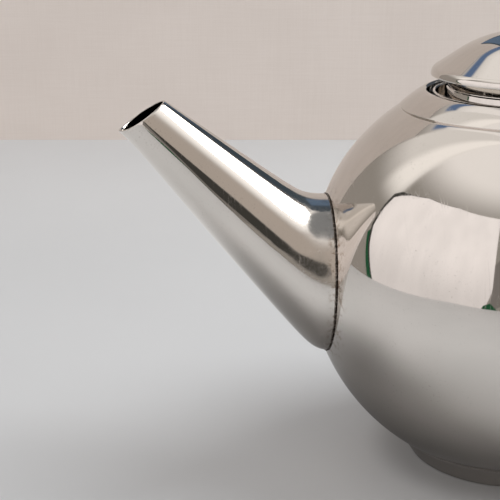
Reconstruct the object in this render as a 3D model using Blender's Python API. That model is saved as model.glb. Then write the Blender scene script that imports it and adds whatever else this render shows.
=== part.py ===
"""A round polished steel teapot with a long cone spout, a ring handle, a lift-off lid and an
infuser basket that hangs in the neck.

Units are metres and +Z is up. The origin is on the pot's upright axis at the level of the table.
The spout points along -X and the handle is on the +X side.
Every sheet-metal piece is turned, pressed or swept from its own outline, as its own closed solid.
"""

from math import acos, atan2, cos, pi, radians, sin, sqrt, tan

import bmesh
import bpy
from mathutils import Matrix, Vector

MM = 0.001
GAP = 0.3 * MM

# The ball, which sets the size of everything else.
BALL_RADIUS = 75.0 * MM
BALL_CENTRE = 72.0 * MM
SHELL_WALL = 0.9 * MM
SHEET_WALL = 0.8 * MM
BODY_SEGMENTS = 40
BALL_ROWS = 17
RING_SEGMENTS = 32
PIN_SEGMENTS = 16

# Neck: the collar is welded to the ball, and the gallery inside it carries the basket.
NECK_SEAM_RADIUS = 42.8 * MM
LIP_RADIUS = 33.1 * MM
LIP_ROLL = 1.0 * MM
LIP_TOP = 139.4 * MM
COLLAR_SKIRT = 134.3 * MM
GALLERY_RADIUS = 32.8 * MM
GALLERY_TOP = 136.2 * MM
LEDGE_BOTTOM = 130.2 * MM
LEDGE_BORE = 28.2 * MM

# Foot and floor.
FOOT_SEAM_RADIUS = 40.0 * MM
FOOT_RADIUS = 34.2 * MM
FOOT_BORE = 31.0 * MM
FLOOR_RADIUS = 34.5 * MM
FLOOR_RISE = 1.4 * MM

# Spout: a level round root that turns up into a cone.
ROOT_RADIUS = 30.4 * MM
ROOT_PLANE = 70.5 * MM
ROOT_WELD_PLANE = 69.7 * MM
ROOT_WELD_RADIUS = 0.45 * MM
TOP_SLOPE = radians(35.2)
BOTTOM_SLOPE = radians(51.1)
TOP_KNEE = 78.0 * MM
BOTTOM_KNEE = 72.7 * MM
TOP_KNEE_SOFTNESS = 1.4 * MM
BOTTOM_KNEE_SOFTNESS = 2.8 * MM
MOUTH_TOP = 126.7 * MM
MOUTH_BOTTOM = 142.7 * MM
MOUTH_HALF_WIDTH = 9.6 * MM
BEAK_LENGTH = 1.1 * MM
SPOUT_SECTIONS = 13
SPOUT_SEGMENTS = 32
STRAINER_HOLE = 2.2 * MM
STRAINER_PITCH = 8.0 * MM

# Handle: one round arc that leaves both sockets square to the ball.
SOCKET_LENGTH = 12.0 * MM
SOCKET_RADIUS = 7.6 * MM
SOCKET_BORE = 6.4 * MM
SOCKET_FLANGE = 10.0 * MM
SPIGOT_RADIUS = 6.0 * MM
SPIGOT_LENGTH = 9.0 * MM
SOCKET_PIN = 1.3 * MM
PIN_FROM_BALL = 7.0 * MM
HANDLE_LIFT = 12.0 * MM
GRIP_HALF_THICKNESS = 5.6 * MM
GRIP_HALF_WIDTH = 9.0 * MM
GRIP_END_RADIUS = 7.4 * MM
GRIP_SECTIONS = 26
GRIP_SEGMENTS = 14

# Lid: a round cap, a straight shoulder and a rounded rim.
LID_RADIUS = 32.6 * MM
LID_RIM_HEIGHT = 145.3 * MM
LID_RIM_ROUND = 3.4 * MM
LID_RIM_TUCK = radians(25.0)
LID_SHOULDER = radians(35.0)
LID_CAP_RADIUS = 40.0 * MM
LID_FLANGE_RADIUS = 27.2 * MM
LID_SPIGOT_RADIUS = 25.2 * MM
LID_SPIGOT_BOTTOM = 126.8 * MM
VENT_RADIUS = 1.0 * MM
VENT_FROM_AXIS = 19.0 * MM
STUD_HOLE = 2.2 * MM

# Knob and its screw.
KNOB_RADIUS = 7.3 * MM
KNOB_HEIGHT = 13.5 * MM
KNOB_NECK = 4.2 * MM
ROSETTE_RADIUS = 5.6 * MM
ROSETTE_HEIGHT = 1.4 * MM
SCREW_RADIUS = 1.7 * MM
SCREW_HEAD_RADIUS = 3.8 * MM
SCREW_HEAD_HEIGHT = 2.2 * MM
SCREW_REACH = 8.0 * MM
WASHER_RADIUS = 5.0 * MM
WASHER_HEIGHT = 0.8 * MM

# Infuser basket.
BASKET_RIM_RADIUS = 31.7 * MM
BASKET_RIM_TOP = 139.4 * MM
BASKET_RIM_FLOOR = LEDGE_BOTTOM + SHEET_WALL + GAP
BASKET_NECK_RADIUS = 26.4 * MM
BASKET_NECK_BOTTOM = 124.5 * MM
BASKET_RADIUS = 27.4 * MM
BASKET_BOTTOM = 48.0 * MM
BASKET_SHEET = 0.7 * MM
BASKET_HOLE = 3.0 * MM
BASKET_ROWS = 4
BASKET_COLUMNS = 12

STEEL = ("polished_steel", (0.63, 0.61, 0.58), 0.10, 1.0)
SATIN_STEEL = ("satin_steel", (0.52, 0.50, 0.47), 0.28, 1.0)
WELD = ("weld_metal", (0.27, 0.24, 0.20), 0.55, 1.0)
BLACK = ("black_phenolic", (0.018, 0.017, 0.016), 0.32, 0.0)


def clear_scene():
    for obj in list(bpy.data.objects):
        bpy.data.objects.remove(obj, do_unlink=True)


def material(kind):
    name, colour, roughness, metallic = kind
    made = bpy.data.materials.get(name)
    if made is None:
        made = bpy.data.materials.new(name)
        made.use_nodes = True
        shader = made.node_tree.nodes["Principled BSDF"]
        shader.inputs["Base Color"].default_value = (*colour, 1.0)
        shader.inputs["Roughness"].default_value = roughness
        shader.inputs["Metallic"].default_value = metallic
        made.diffuse_color = (*colour, 1.0)
    return made


def add_object(name, mesh, kind):
    """Puts a mesh in the scene as a smooth-shaded object with one material."""
    obj = bpy.data.objects.new(name, mesh)
    bpy.context.scene.collection.objects.link(obj)
    if kind is not None:
        mesh.materials.append(material(kind))
    mesh.shade_smooth()
    mesh.set_sharp_from_angle(angle=radians(40.0))
    return obj


def mesh_from(name, points, faces):
    """A mesh with its faces turned outwards."""
    mesh = bpy.data.meshes.new(name)
    mesh.from_pydata(points, [], faces)
    work = bmesh.new()
    work.from_mesh(mesh)
    bmesh.ops.remove_doubles(work, verts=work.verts, dist=1e-7)
    bmesh.ops.recalc_face_normals(work, faces=work.faces)
    work.to_mesh(mesh)
    work.free()
    return mesh


def turned(name, outline, segments=RING_SEGMENTS):
    """A solid of revolution about Z. The outline is a list of (radius, height) points that
    closes on itself, or that starts and ends on the axis."""
    points = []
    faces = []
    for radius, height in outline:
        for step in range(segments):
            angle = 2.0 * pi * step / segments
            points.append((radius * cos(angle), radius * sin(angle), height))
    on_axis = [radius < 1e-9 for radius, _ in outline]
    for row in range(len(outline)):
        below = (row + 1) % len(outline)
        if on_axis[row] and on_axis[below]:
            continue
        for step in range(segments):
            after = (step + 1) % segments
            faces.append(
                (
                    row * segments + step,
                    row * segments + after,
                    below * segments + after,
                    below * segments + step,
                )
            )
    return mesh_from(name, *without_repeats(points, faces))


def without_repeats(points, faces):
    """Points that fall together, as on the axis, made one, so that no face holds one twice."""
    index = {}
    kept = []
    new = []
    for point in points:
        key = tuple(round(value * 1e8) for value in point)
        if key not in index:
            index[key] = len(kept)
            kept.append(point)
        new.append(index[key])
    cleaned = []
    for face in faces:
        corners = []
        for corner in face:
            if new[corner] not in corners:
                corners.append(new[corner])
        if len(corners) > 2:
            cleaned.append(tuple(corners))
    return kept, cleaned


def sheet(outline, wall):
    """The closed outline of a sheet from one of its faces, an open line. The metal lies on the
    line's right-hand side, and corners are mitred."""
    inner = []
    last = len(outline) - 1
    for i, (radius, height) in enumerate(outline):
        normals = []
        for a, b in ((i - 1, i), (i, i + 1)):
            if a < 0 or b > last:
                continue
            dr = outline[b][0] - outline[a][0]
            dz = outline[b][1] - outline[a][1]
            length = sqrt(dr * dr + dz * dz)
            normals.append((dz / length, -dr / length))
        nr = sum(n[0] for n in normals) / len(normals)
        nz = sum(n[1] for n in normals) / len(normals)
        stretch = wall / (nr * nr + nz * nz)
        at_axis = radius < 1e-9
        new_radius = 0.0 if at_axis else radius + nr * stretch
        new_height = height + (wall * (1 if nz > 0 else -1) if at_axis else nz * stretch)
        inner.append((new_radius, new_height))
    return list(outline) + inner[::-1]


def arc(centre, radius, start, end, steps):
    """Points along an arc in the (radius, height) plane, angles in radians from +radius."""
    found = []
    for step in range(steps + 1):
        angle = start + (end - start) * step / steps
        found.append((centre[0] + radius * cos(angle), centre[1] + radius * sin(angle)))
    return found


def curve_through(start, pull, end, steps):
    """Points along a quadratic Bezier curve in the (radius, height) plane."""
    found = []
    for step in range(steps + 1):
        t = step / steps
        found.append(
            tuple(
                (1 - t) ** 2 * a + 2 * t * (1 - t) * b + t * t * c
                for a, b, c in zip(start, pull, end)
            )
        )
    return found


def cut(obj, cutter):
    """Subtracts a helper from an object and hides the helper."""
    cutter.hide_render = True
    cutter.display_type = "WIRE"
    modifier = obj.modifiers.new("cut_" + cutter.name, "BOOLEAN")
    modifier.operation = "DIFFERENCE"
    modifier.solver = "EXACT"
    modifier.object = cutter


def rods(name, placed, radius, length, segments=6):
    """One helper mesh of round rods, each centred on its own matrix and lying along local Z."""
    work = bmesh.new()
    for matrix in placed:
        bmesh.ops.create_cone(
            work,
            cap_ends=True,
            segments=segments,
            radius1=radius,
            radius2=radius,
            depth=length,
            matrix=matrix,
        )
    mesh = bpy.data.meshes.new(name)
    work.to_mesh(mesh)
    work.free()
    return add_object(name, mesh, None)


def ball_height(radius, ball_radius=BALL_RADIUS, side=1):
    """Height at which the ball has this radius, above or below its middle."""
    return BALL_CENTRE + side * sqrt(ball_radius**2 - radius**2)


# ---------------------------------------------------------------- body


def body_shell():
    """The spun ball: open at the neck, dished floor inside the foot, pierced behind the spout."""
    edge_radius = NECK_SEAM_RADIUS + GAP
    neck_angle = acos(edge_radius / BALL_RADIUS)
    floor_angle = -acos(FLOOR_RADIUS / BALL_RADIUS)
    ball = arc((0.0, BALL_CENTRE), BALL_RADIUS, floor_angle, neck_angle, BALL_ROWS)
    floor_height = ball_height(FLOOR_RADIUS, side=-1)
    floor = [
        (0.0, floor_height + FLOOR_RISE),
        (16.0 * MM, floor_height + 0.8 * FLOOR_RISE),
        (31.0 * MM, floor_height - 0.15 * MM),
    ]
    outline = sheet((floor + ball)[::-1], SHELL_WALL)
    obj = add_object("body_shell", turned("body_shell", outline, BODY_SEGMENTS), STEEL)
    holes = []
    for ring, count in ((0, 1), (1, 6), (2, 12)):
        for step in range(count):
            angle = 2.0 * pi * step / count
            reach = ring * STRAINER_PITCH
            where = (-BALL_RADIUS, reach * cos(angle), BALL_CENTRE + reach * sin(angle))
            holes.append(Matrix.Translation(where) @ Matrix.Rotation(pi / 2, 4, "Y"))
    cut(obj, rods("strainer_cutter", holes, STRAINER_HOLE, 30.0 * MM))
    return obj


def neck_collar():
    """The domed ring round the mouth: it rises from the seam, rolls over and turns down inside."""
    seam = (NECK_SEAM_RADIUS, ball_height(NECK_SEAM_RADIUS))
    roll_centre = (LIP_RADIUS + LIP_ROLL, LIP_TOP - LIP_ROLL)
    crown = arc(roll_centre, LIP_ROLL, radians(75.0), pi, 3)
    rise = curve_through(seam, (39.0 * MM, 138.3 * MM), crown[0], 4)
    outline = rise + crown[1:] + [(LIP_RADIUS, COLLAR_SKIRT)]
    closed = sheet(outline[::-1], SHEET_WALL)
    return add_object("neck_collar", turned("neck_collar", closed, BODY_SEGMENTS), STEEL)


def neck_gallery():
    """The stepped ring inside the collar, whose ledge the basket hangs from."""
    outline = [
        (GALLERY_RADIUS, GALLERY_TOP),
        (GALLERY_RADIUS, LEDGE_BOTTOM),
        (LEDGE_BORE, LEDGE_BOTTOM),
    ]
    closed = sheet(outline, SHEET_WALL)
    return add_object("neck_gallery", turned("neck_gallery", closed), SATIN_STEEL)


def foot_ring():
    """The tapered band the pot stands on, with its lower edge turned in flat."""
    clear = BALL_RADIUS + GAP
    inner_top = FOOT_SEAM_RADIUS - 1.7 * MM
    taper = (FOOT_SEAM_RADIUS - FOOT_RADIUS) / ball_height(FOOT_SEAM_RADIUS, clear, -1)
    inner_top_height = ball_height(inner_top, clear, -1)
    inner_foot = inner_top - taper * (inner_top_height - SHEET_WALL)
    outline = [
        (FOOT_SEAM_RADIUS, ball_height(FOOT_SEAM_RADIUS, clear, -1)),
        (FOOT_RADIUS + taper * 0.9 * MM, 0.9 * MM),
        (FOOT_RADIUS, 0.25 * MM),
        (FOOT_RADIUS - 0.5 * MM, 0.0),
        (FOOT_BORE, 0.0),
        (FOOT_BORE, SHEET_WALL),
        (inner_foot, SHEET_WALL),
        (inner_top, inner_top_height),
    ]
    return add_object("foot_ring", turned("foot_ring", outline, BODY_SEGMENTS), STEEL)


# ---------------------------------------------------------------- spout


def soft_ramp(run, slope, softness):
    """Zero before the knee and a straight slope after it, with a rounded knee."""
    rise = slope * run
    return 0.5 * (rise + sqrt(rise * rise + softness * softness))


def spout_top(reach):
    rise = soft_ramp(reach - TOP_KNEE, tan(TOP_SLOPE), TOP_KNEE_SOFTNESS)
    return BALL_CENTRE + ROOT_RADIUS + rise


def spout_bottom(reach):
    rise = soft_ramp(reach - BOTTOM_KNEE, tan(BOTTOM_SLOPE), BOTTOM_KNEE_SOFTNESS)
    return BALL_CENTRE - ROOT_RADIUS + rise


def spout_half_width(reach):
    """Half the spout's breadth at a distance from the pot's axis, measured at mid height."""
    knee = 73.0 * MM
    mouth = 0.5 * (MOUTH_TOP + MOUTH_BOTTOM)
    slope = (ROOT_RADIUS - MOUTH_HALF_WIDTH) / (mouth - knee)
    return ROOT_RADIUS - soft_ramp(reach - knee, slope, 0.8 * MM)


def spout_section(t):
    """Points round the spout at a fraction of its length, from the root to the mouth."""
    top_reach = ROOT_PLANE + t * (MOUTH_TOP - ROOT_PLANE)
    bottom_reach = ROOT_PLANE + t * (MOUTH_BOTTOM - ROOT_PLANE)
    top = Vector((-top_reach, 0.0, spout_top(top_reach)))
    bottom = Vector((-bottom_reach, 0.0, spout_bottom(bottom_reach)))
    middle = (top + bottom) / 2.0
    upward = (top - bottom) / 2.0
    half_width = spout_half_width(-middle.x)
    beak = max(0.0, (t - 0.9) / 0.1) ** 2 * BEAK_LENGTH
    found = []
    for step in range(SPOUT_SEGMENTS):
        angle = 2.0 * pi * step / SPOUT_SEGMENTS
        point = middle + upward * cos(angle) + Vector((0.0, half_width * sin(angle), 0.0))
        point.x -= beak * max(0.0, -cos(angle)) ** 8
        found.append(point)
    return found


def spout():
    """One sheet cone, thickened inwards, its root a flat circle just off the ball."""
    points = []
    faces = []
    for row in range(SPOUT_SECTIONS):
        t = (row / (SPOUT_SECTIONS - 1)) ** 1.6
        points.extend(spout_section(t))
    for row in range(SPOUT_SECTIONS - 1):
        for step in range(SPOUT_SEGMENTS):
            after = (step + 1) % SPOUT_SEGMENTS
            here = row * SPOUT_SEGMENTS
            beyond = here + SPOUT_SEGMENTS
            faces.append((here + step, here + after, beyond + after, beyond + step))
    mesh = mesh_from("spout", points, faces)
    obj = add_object("spout", mesh, STEEL)
    wall = obj.modifiers.new("wall", "SOLIDIFY")
    wall.thickness = SHEET_WALL
    wall.offset = -1.0
    wall.use_even_offset = True
    return obj


def spout_weld_bead():
    """The bead of weld metal round the root, a level-axis ring square to the spout."""
    ring_radius = ROOT_RADIUS - SHEET_WALL / 2.0
    outline = arc((ring_radius, 0.0), ROOT_WELD_RADIUS, 0.0, 2.0 * pi, 8)[:-1]
    obj = add_object("spout_weld_bead", turned("spout_weld_bead", outline, SPOUT_SEGMENTS), WELD)
    obj.location = (-ROOT_WELD_PLANE, 0.0, BALL_CENTRE)
    obj.rotation_euler = (0.0, -pi / 2.0, 0.0)
    return obj


# ---------------------------------------------------------------- handle


def handle_layout():
    """Centre and radius of the handle's arc, which crosses the socket mouths square to the ball
    and reaches out as far as the spout does."""
    reach = MOUTH_BOTTOM + BEAK_LENGTH - GRIP_HALF_THICKNESS
    socket_mouth = BALL_RADIUS + SOCKET_LENGTH + GAP
    centre_x = (socket_mouth**2 + reach**2 - HANDLE_LIFT**2) / (2.0 * reach)
    return Vector((centre_x, 0.0, BALL_CENTRE + HANDLE_LIFT)), reach - centre_x, socket_mouth


def socket_angles():
    """Elevation of each socket's axis, seen from the ball's centre."""
    centre, radius, socket_mouth = handle_layout()
    to_centre = atan2(HANDLE_LIFT, centre.x)
    spread = atan2(radius, socket_mouth)
    return to_centre + spread, to_centre - spread


def along_radius(elevation):
    """A frame at the ball's centre whose Z axis points out at this elevation over +X."""
    turn = Matrix.Rotation(pi / 2.0 - elevation, 4, "Y")
    return Matrix.Translation((0.0, 0.0, BALL_CENTRE)) @ turn


def handle_socket(name, elevation):
    """A short flared tube, square to the ball, that holds one end of the grip."""
    clear = BALL_RADIUS + GAP
    base = sqrt(clear**2 - SOCKET_FLANGE**2)
    mouth = BALL_RADIUS + SOCKET_LENGTH
    outline = [
        (SOCKET_BORE, sqrt(clear**2 - SOCKET_BORE**2)),
        (SOCKET_FLANGE, base),
        (SOCKET_FLANGE, base + 0.6 * MM),
        (SOCKET_FLANGE - 1.5 * MM, base + 1.4 * MM),
        (SOCKET_RADIUS, base + 3.0 * MM),
        (SOCKET_RADIUS, mouth - 0.3 * MM),
        (SOCKET_RADIUS - 0.3 * MM, mouth),
        (SOCKET_BORE, mouth),
    ]
    obj = add_object(name, turned(name, outline, 24), STEEL)
    obj.matrix_world = along_radius(elevation)
    return obj


def pin_place(elevation):
    """Where a socket's cross pin lies, along Y."""
    out = along_radius(elevation) @ Matrix.Translation((0.0, 0.0, BALL_RADIUS + PIN_FROM_BALL))
    return out @ Matrix.Rotation(pi / 2.0, 4, "X")


def handle_pin(name, elevation):
    """A cross pin with slightly rounded ends that fixes the grip in its socket."""
    half = SOCKET_RADIUS + 0.3 * MM
    outline = [
        (0.0, -half),
        (SOCKET_PIN - 0.4 * MM, -half),
        (SOCKET_PIN, -half + 0.3 * MM),
        (SOCKET_PIN, half - 0.3 * MM),
        (SOCKET_PIN - 0.4 * MM, half),
        (0.0, half),
    ]
    obj = add_object(name, turned(name, outline, PIN_SEGMENTS), SATIN_STEEL)
    obj.matrix_world = pin_place(elevation)
    return obj


def smooth_step(value):
    value = min(1.0, max(0.0, value))
    return value * value * (3.0 - 2.0 * value)


def grip_stations():
    """(centre, outward normal, half thickness, half width) along the grip, end to end."""
    centre, radius, socket_mouth = handle_layout()
    upper, lower = socket_angles()
    start = pi / 2.0 + upper
    end = lower - pi / 2.0
    ball = Vector((0.0, 0.0, BALL_CENTRE))
    found = []

    def spigot(elevation, normal_sign):
        outward = Vector((cos(elevation), 0.0, sin(elevation)))
        across = Vector((-sin(elevation), 0.0, cos(elevation))) * normal_sign
        tip = ball + outward * (socket_mouth - SPIGOT_LENGTH)
        shoulder = ball + outward * socket_mouth
        return [(tip, across, SPIGOT_RADIUS), (shoulder, across, SPIGOT_RADIUS)]

    for place, across, size in spigot(upper, 1.0):
        found.append((place, across, size, size))
    for step in range(GRIP_SECTIONS + 1):
        share = step / GRIP_SECTIONS
        angle = start + (end - start) * share
        normal = Vector((cos(angle), 0.0, sin(angle)))
        full = smooth_step(min(share, 1.0 - share) / 0.22)
        thick = GRIP_END_RADIUS + (GRIP_HALF_THICKNESS - GRIP_END_RADIUS) * full
        wide = GRIP_END_RADIUS + (GRIP_HALF_WIDTH - GRIP_END_RADIUS) * full
        found.append((centre + normal * radius, normal, thick, wide))
    for place, across, size in reversed(spigot(lower, -1.0)):
        found.append((place, across, size, size))
    return found


def handle_grip():
    """The black grip: an oval bar bent to an arc, with a round spigot at each end."""
    points = []
    faces = []
    stations = grip_stations()
    for place, normal, thick, wide in stations:
        for step in range(GRIP_SEGMENTS):
            angle = 2.0 * pi * step / GRIP_SEGMENTS
            sideways = Vector((0.0, wide * sin(angle), 0.0))
            points.append(place + normal * (thick * cos(angle)) + sideways)
    for row in range(len(stations) - 1):
        for step in range(GRIP_SEGMENTS):
            after = (step + 1) % GRIP_SEGMENTS
            here = row * GRIP_SEGMENTS
            beyond = here + GRIP_SEGMENTS
            faces.append((here + step, here + after, beyond + after, beyond + step))
    last = (len(stations) - 1) * GRIP_SEGMENTS
    faces.append(tuple(range(GRIP_SEGMENTS)))
    faces.append(tuple(last + step for step in range(GRIP_SEGMENTS)))
    return add_object("handle_grip", mesh_from("handle_grip", points, faces), BLACK)


def handle():
    """The grip, and at each of its ends a socket and the cross pin through both."""
    upper, lower = socket_angles()
    grip = handle_grip()
    for side, elevation in (("upper", upper), ("lower", lower)):
        socket = handle_socket(side + "_handle_socket", elevation)
        hole = rods(
            side + "_pin_cutter",
            [pin_place(elevation)],
            SOCKET_PIN + GAP,
            4.0 * SOCKET_RADIUS,
            PIN_SEGMENTS,
        )
        cut(socket, hole)
        cut(grip, hole)
        handle_pin(side + "_handle_pin", elevation)


# ---------------------------------------------------------------- lid


def lid_outline():
    """The lid's outer face from the tucked rim up to the axis."""
    rim_centre = (LID_RADIUS - LID_RIM_ROUND, LID_RIM_HEIGHT)
    shoulder_normal = pi / 2.0 - LID_SHOULDER
    rim = arc(rim_centre, LID_RIM_ROUND, -LID_RIM_TUCK, shoulder_normal, 5)
    cap_edge = LID_CAP_RADIUS * sin(LID_SHOULDER)
    cap_edge_height = rim[-1][1] + (rim[-1][0] - cap_edge) * tan(LID_SHOULDER)
    cap_centre = (0.0, cap_edge_height - LID_CAP_RADIUS * cos(LID_SHOULDER))
    return rim + arc(cap_centre, LID_CAP_RADIUS, shoulder_normal, pi / 2.0, 5)


def lid_top():
    return lid_outline()[-1][1]


def lid_dome():
    """The spun lid, with a hole for the knob's screw and a small steam vent."""
    outline = sheet([(max(0.0, r), z) for r, z in lid_outline()][::-1], SHELL_WALL)
    outline = [(0.0 if r < 1e-6 else r, z) for r, z in outline]
    obj = add_object("lid_dome", turned("lid_dome", outline), STEEL)
    over = lid_top()
    holes = [Matrix.Translation((0.0, 0.0, over))]
    cut(obj, rods("screw_cutter", holes, STUD_HOLE, 10.0 * MM, PIN_SEGMENTS))
    vents = [Matrix.Translation((VENT_FROM_AXIS, 0.0, over - 4.0 * MM))]
    cut(obj, rods("vent_cutter", vents, VENT_RADIUS, 12.0 * MM, 8))
    return obj


def lid_flange():
    """The stepped tube under the lid: its step rests on the basket's rim, its spigot goes in."""
    step = BASKET_RIM_FLOOR + SHEET_WALL + GAP
    outline = [
        (LID_FLANGE_RADIUS, 149.0 * MM),
        (LID_FLANGE_RADIUS, step),
        (LID_SPIGOT_RADIUS, step),
        (LID_SPIGOT_RADIUS, LID_SPIGOT_BOTTOM),
    ]
    closed = sheet(outline, SHEET_WALL)
    return add_object("lid_flange", turned("lid_flange", closed), STEEL)


def knob_rosette():
    """The small steel seat between the knob and the lid."""
    base = lid_top() + GAP
    outline = [
        (STUD_HOLE, base),
        (ROSETTE_RADIUS, base),
        (ROSETTE_RADIUS - 0.3 * MM, base + 0.6 * ROSETTE_HEIGHT),
        (ROSETTE_RADIUS - 1.0 * MM, base + ROSETTE_HEIGHT),
        (STUD_HOLE, base + ROSETTE_HEIGHT),
    ]
    return add_object("knob_rosette", turned("knob_rosette", outline, 24), STEEL)


def lid_knob():
    """The black knob: a narrow neck under a rounded head, with a blind hole for the screw."""
    base = lid_top() + ROSETTE_HEIGHT + 2.0 * GAP
    head_height = KNOB_HEIGHT - 4.0 * MM
    head_centre = base + 4.0 * MM + head_height / 2.0
    head = []
    for step in range(1, 9):
        angle = -pi / 2.0 + pi * step / 8.0
        radius = KNOB_RADIUS * max(0.0, cos(angle)) ** 0.8
        head.append((radius, head_centre + head_height / 2.0 * sin(angle)))
    head[-1] = (0.0, head[-1][1])
    bore_top = base + SCREW_REACH + GAP
    outline = [
        (0.0, bore_top),
        (SCREW_RADIUS + GAP, bore_top),
        (SCREW_RADIUS + GAP, base),
        (KNOB_NECK, base),
        (KNOB_NECK - 0.6 * MM, base + 2.2 * MM),
        (KNOB_NECK - 0.2 * MM, base + 4.0 * MM),
    ]
    return add_object("lid_knob", turned("lid_knob", outline + head, 24), BLACK)


def knob_washer():
    """The washer under the lid, just below the dome's inner face."""
    top = washer_top()
    outline = [
        (STUD_HOLE, top - WASHER_HEIGHT),
        (WASHER_RADIUS, top - WASHER_HEIGHT),
        (WASHER_RADIUS, top),
        (STUD_HOLE, top),
    ]
    return add_object("knob_washer", turned("knob_washer", outline, 24), SATIN_STEEL)


def washer_top():
    """The highest flat place under the dome for a washer of this radius."""
    drop = LID_CAP_RADIUS - sqrt((LID_CAP_RADIUS - SHELL_WALL) ** 2 - WASHER_RADIUS**2)
    return lid_top() - drop - GAP


def knob_screw():
    """The screw that comes up through washer, lid and rosette into the knob."""
    head_top = washer_top() - WASHER_HEIGHT - GAP
    head_bottom = head_top - SCREW_HEAD_HEIGHT
    tip = lid_top() + ROSETTE_HEIGHT + 2.0 * GAP + SCREW_REACH
    outline = [
        (0.0, head_bottom),
        (SCREW_HEAD_RADIUS - 1.0 * MM, head_bottom),
        (SCREW_HEAD_RADIUS, head_bottom + 1.0 * MM),
        (SCREW_HEAD_RADIUS, head_top),
        (SCREW_RADIUS, head_top),
        (SCREW_RADIUS, tip - 0.6 * MM),
        (SCREW_RADIUS - 0.6 * MM, tip),
        (0.0, tip),
    ]
    return add_object("knob_screw", turned("knob_screw", outline, PIN_SEGMENTS), SATIN_STEEL)


# ---------------------------------------------------------------- infuser basket


def basket_rim():
    """The stepped rim that hangs on the gallery's ledge and takes the lid's flange."""
    outline = [
        (BASKET_RIM_RADIUS, BASKET_RIM_TOP),
        (BASKET_RIM_RADIUS, BASKET_RIM_FLOOR),
        (BASKET_NECK_RADIUS, BASKET_RIM_FLOOR),
        (BASKET_NECK_RADIUS, BASKET_NECK_BOTTOM),
    ]
    closed = sheet(outline, SHEET_WALL)
    return add_object("basket_rim", turned("basket_rim", closed), STEEL)


def basket_wall():
    """The pierced tube of the basket."""
    top = BASKET_RIM_FLOOR - GAP
    outline = sheet([(BASKET_RADIUS, top), (BASKET_RADIUS, BASKET_BOTTOM)], BASKET_SHEET)
    obj = add_object("basket_wall", turned("basket_wall", outline), SATIN_STEEL)
    holes = []
    pitch = (BASKET_NECK_BOTTOM - BASKET_BOTTOM) / (BASKET_ROWS + 0.6)
    for row in range(BASKET_ROWS):
        for column in range(BASKET_COLUMNS):
            turn = Matrix.Rotation(2.0 * pi * (column + 0.5 * (row % 2)) / BASKET_COLUMNS, 4, "Z")
            height = BASKET_BOTTOM + (row + 0.8) * pitch
            place = Matrix.Translation((BASKET_RADIUS, 0.0, height))
            holes.append(turn @ place @ Matrix.Rotation(pi / 2.0, 4, "Y"))
    cut(obj, rods("basket_wall_cutter", holes, BASKET_HOLE, 8.0 * MM))
    return obj


def basket_floor():
    """The pierced dished disc that closes the basket, its edge turned up inside the wall."""
    edge = BASKET_RADIUS - BASKET_SHEET - GAP
    outline = [
        (edge, BASKET_BOTTOM + 4.0 * MM),
        (edge, BASKET_BOTTOM + 1.0 * MM),
        (edge - 1.0 * MM, BASKET_BOTTOM),
        (0.0, BASKET_BOTTOM),
    ]
    closed = sheet(outline, BASKET_SHEET)
    obj = add_object("basket_floor", turned("basket_floor", closed), SATIN_STEEL)
    holes = []
    for ring, count in ((0, 1), (1, 6)):
        for step in range(count):
            angle = 2.0 * pi * step / count
            reach = ring * 13.0 * MM
            where = (reach * cos(angle), reach * sin(angle), BASKET_BOTTOM)
            holes.append(Matrix.Translation(where))
    cut(obj, rods("basket_floor_cutter", holes, BASKET_HOLE, 6.0 * MM))
    return obj


def main():
    clear_scene()
    body_shell()
    neck_collar()
    neck_gallery()
    foot_ring()
    spout()
    spout_weld_bead()
    handle()
    lid_dome()
    lid_flange()
    knob_rosette()
    lid_knob()
    knob_washer()
    knob_screw()
    basket_rim()
    basket_wall()
    basket_floor()


main()
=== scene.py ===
"""Looks for the round steel teapot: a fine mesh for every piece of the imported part, worn polished
steel and moulded phenolic made from nodes, and a plain studio for the mirror finish to reflect.

Units are metres, +Z is up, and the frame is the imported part's own: the spout points along -X, the
handle is on the +X side and the origin is on the pot's axis at the level of the table.
"""

from math import acos, atan2, cos, pi, radians, sin, sqrt, tan

import bmesh
import bpy
from mathutils import Matrix, Vector, noise

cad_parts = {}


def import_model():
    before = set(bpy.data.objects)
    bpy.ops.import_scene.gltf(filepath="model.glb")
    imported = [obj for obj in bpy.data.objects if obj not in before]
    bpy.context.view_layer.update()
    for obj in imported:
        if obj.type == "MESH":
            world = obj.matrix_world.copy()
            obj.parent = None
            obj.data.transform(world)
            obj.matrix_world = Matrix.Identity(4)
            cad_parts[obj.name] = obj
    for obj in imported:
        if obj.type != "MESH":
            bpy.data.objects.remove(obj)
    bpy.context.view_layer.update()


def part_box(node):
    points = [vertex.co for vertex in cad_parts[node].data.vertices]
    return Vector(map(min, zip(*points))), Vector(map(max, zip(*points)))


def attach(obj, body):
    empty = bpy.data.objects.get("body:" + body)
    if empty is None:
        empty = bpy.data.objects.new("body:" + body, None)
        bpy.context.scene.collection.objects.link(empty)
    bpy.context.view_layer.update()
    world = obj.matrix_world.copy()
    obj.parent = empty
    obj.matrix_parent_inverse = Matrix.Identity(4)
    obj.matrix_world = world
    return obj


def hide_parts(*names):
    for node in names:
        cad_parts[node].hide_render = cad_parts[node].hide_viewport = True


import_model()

MM = 0.001
SEAM_OVERLAP = 0.15 * MM

# The ball and the sheet it is pressed from.
BALL_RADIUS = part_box("body_shell")[1].y
BALL_CENTRE = 72.0 * MM
SHELL_WALL = 0.9 * MM
SHEET_WALL = 0.8 * MM
FINE = 288
MEDIUM = 160
SMALL = 96

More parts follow.
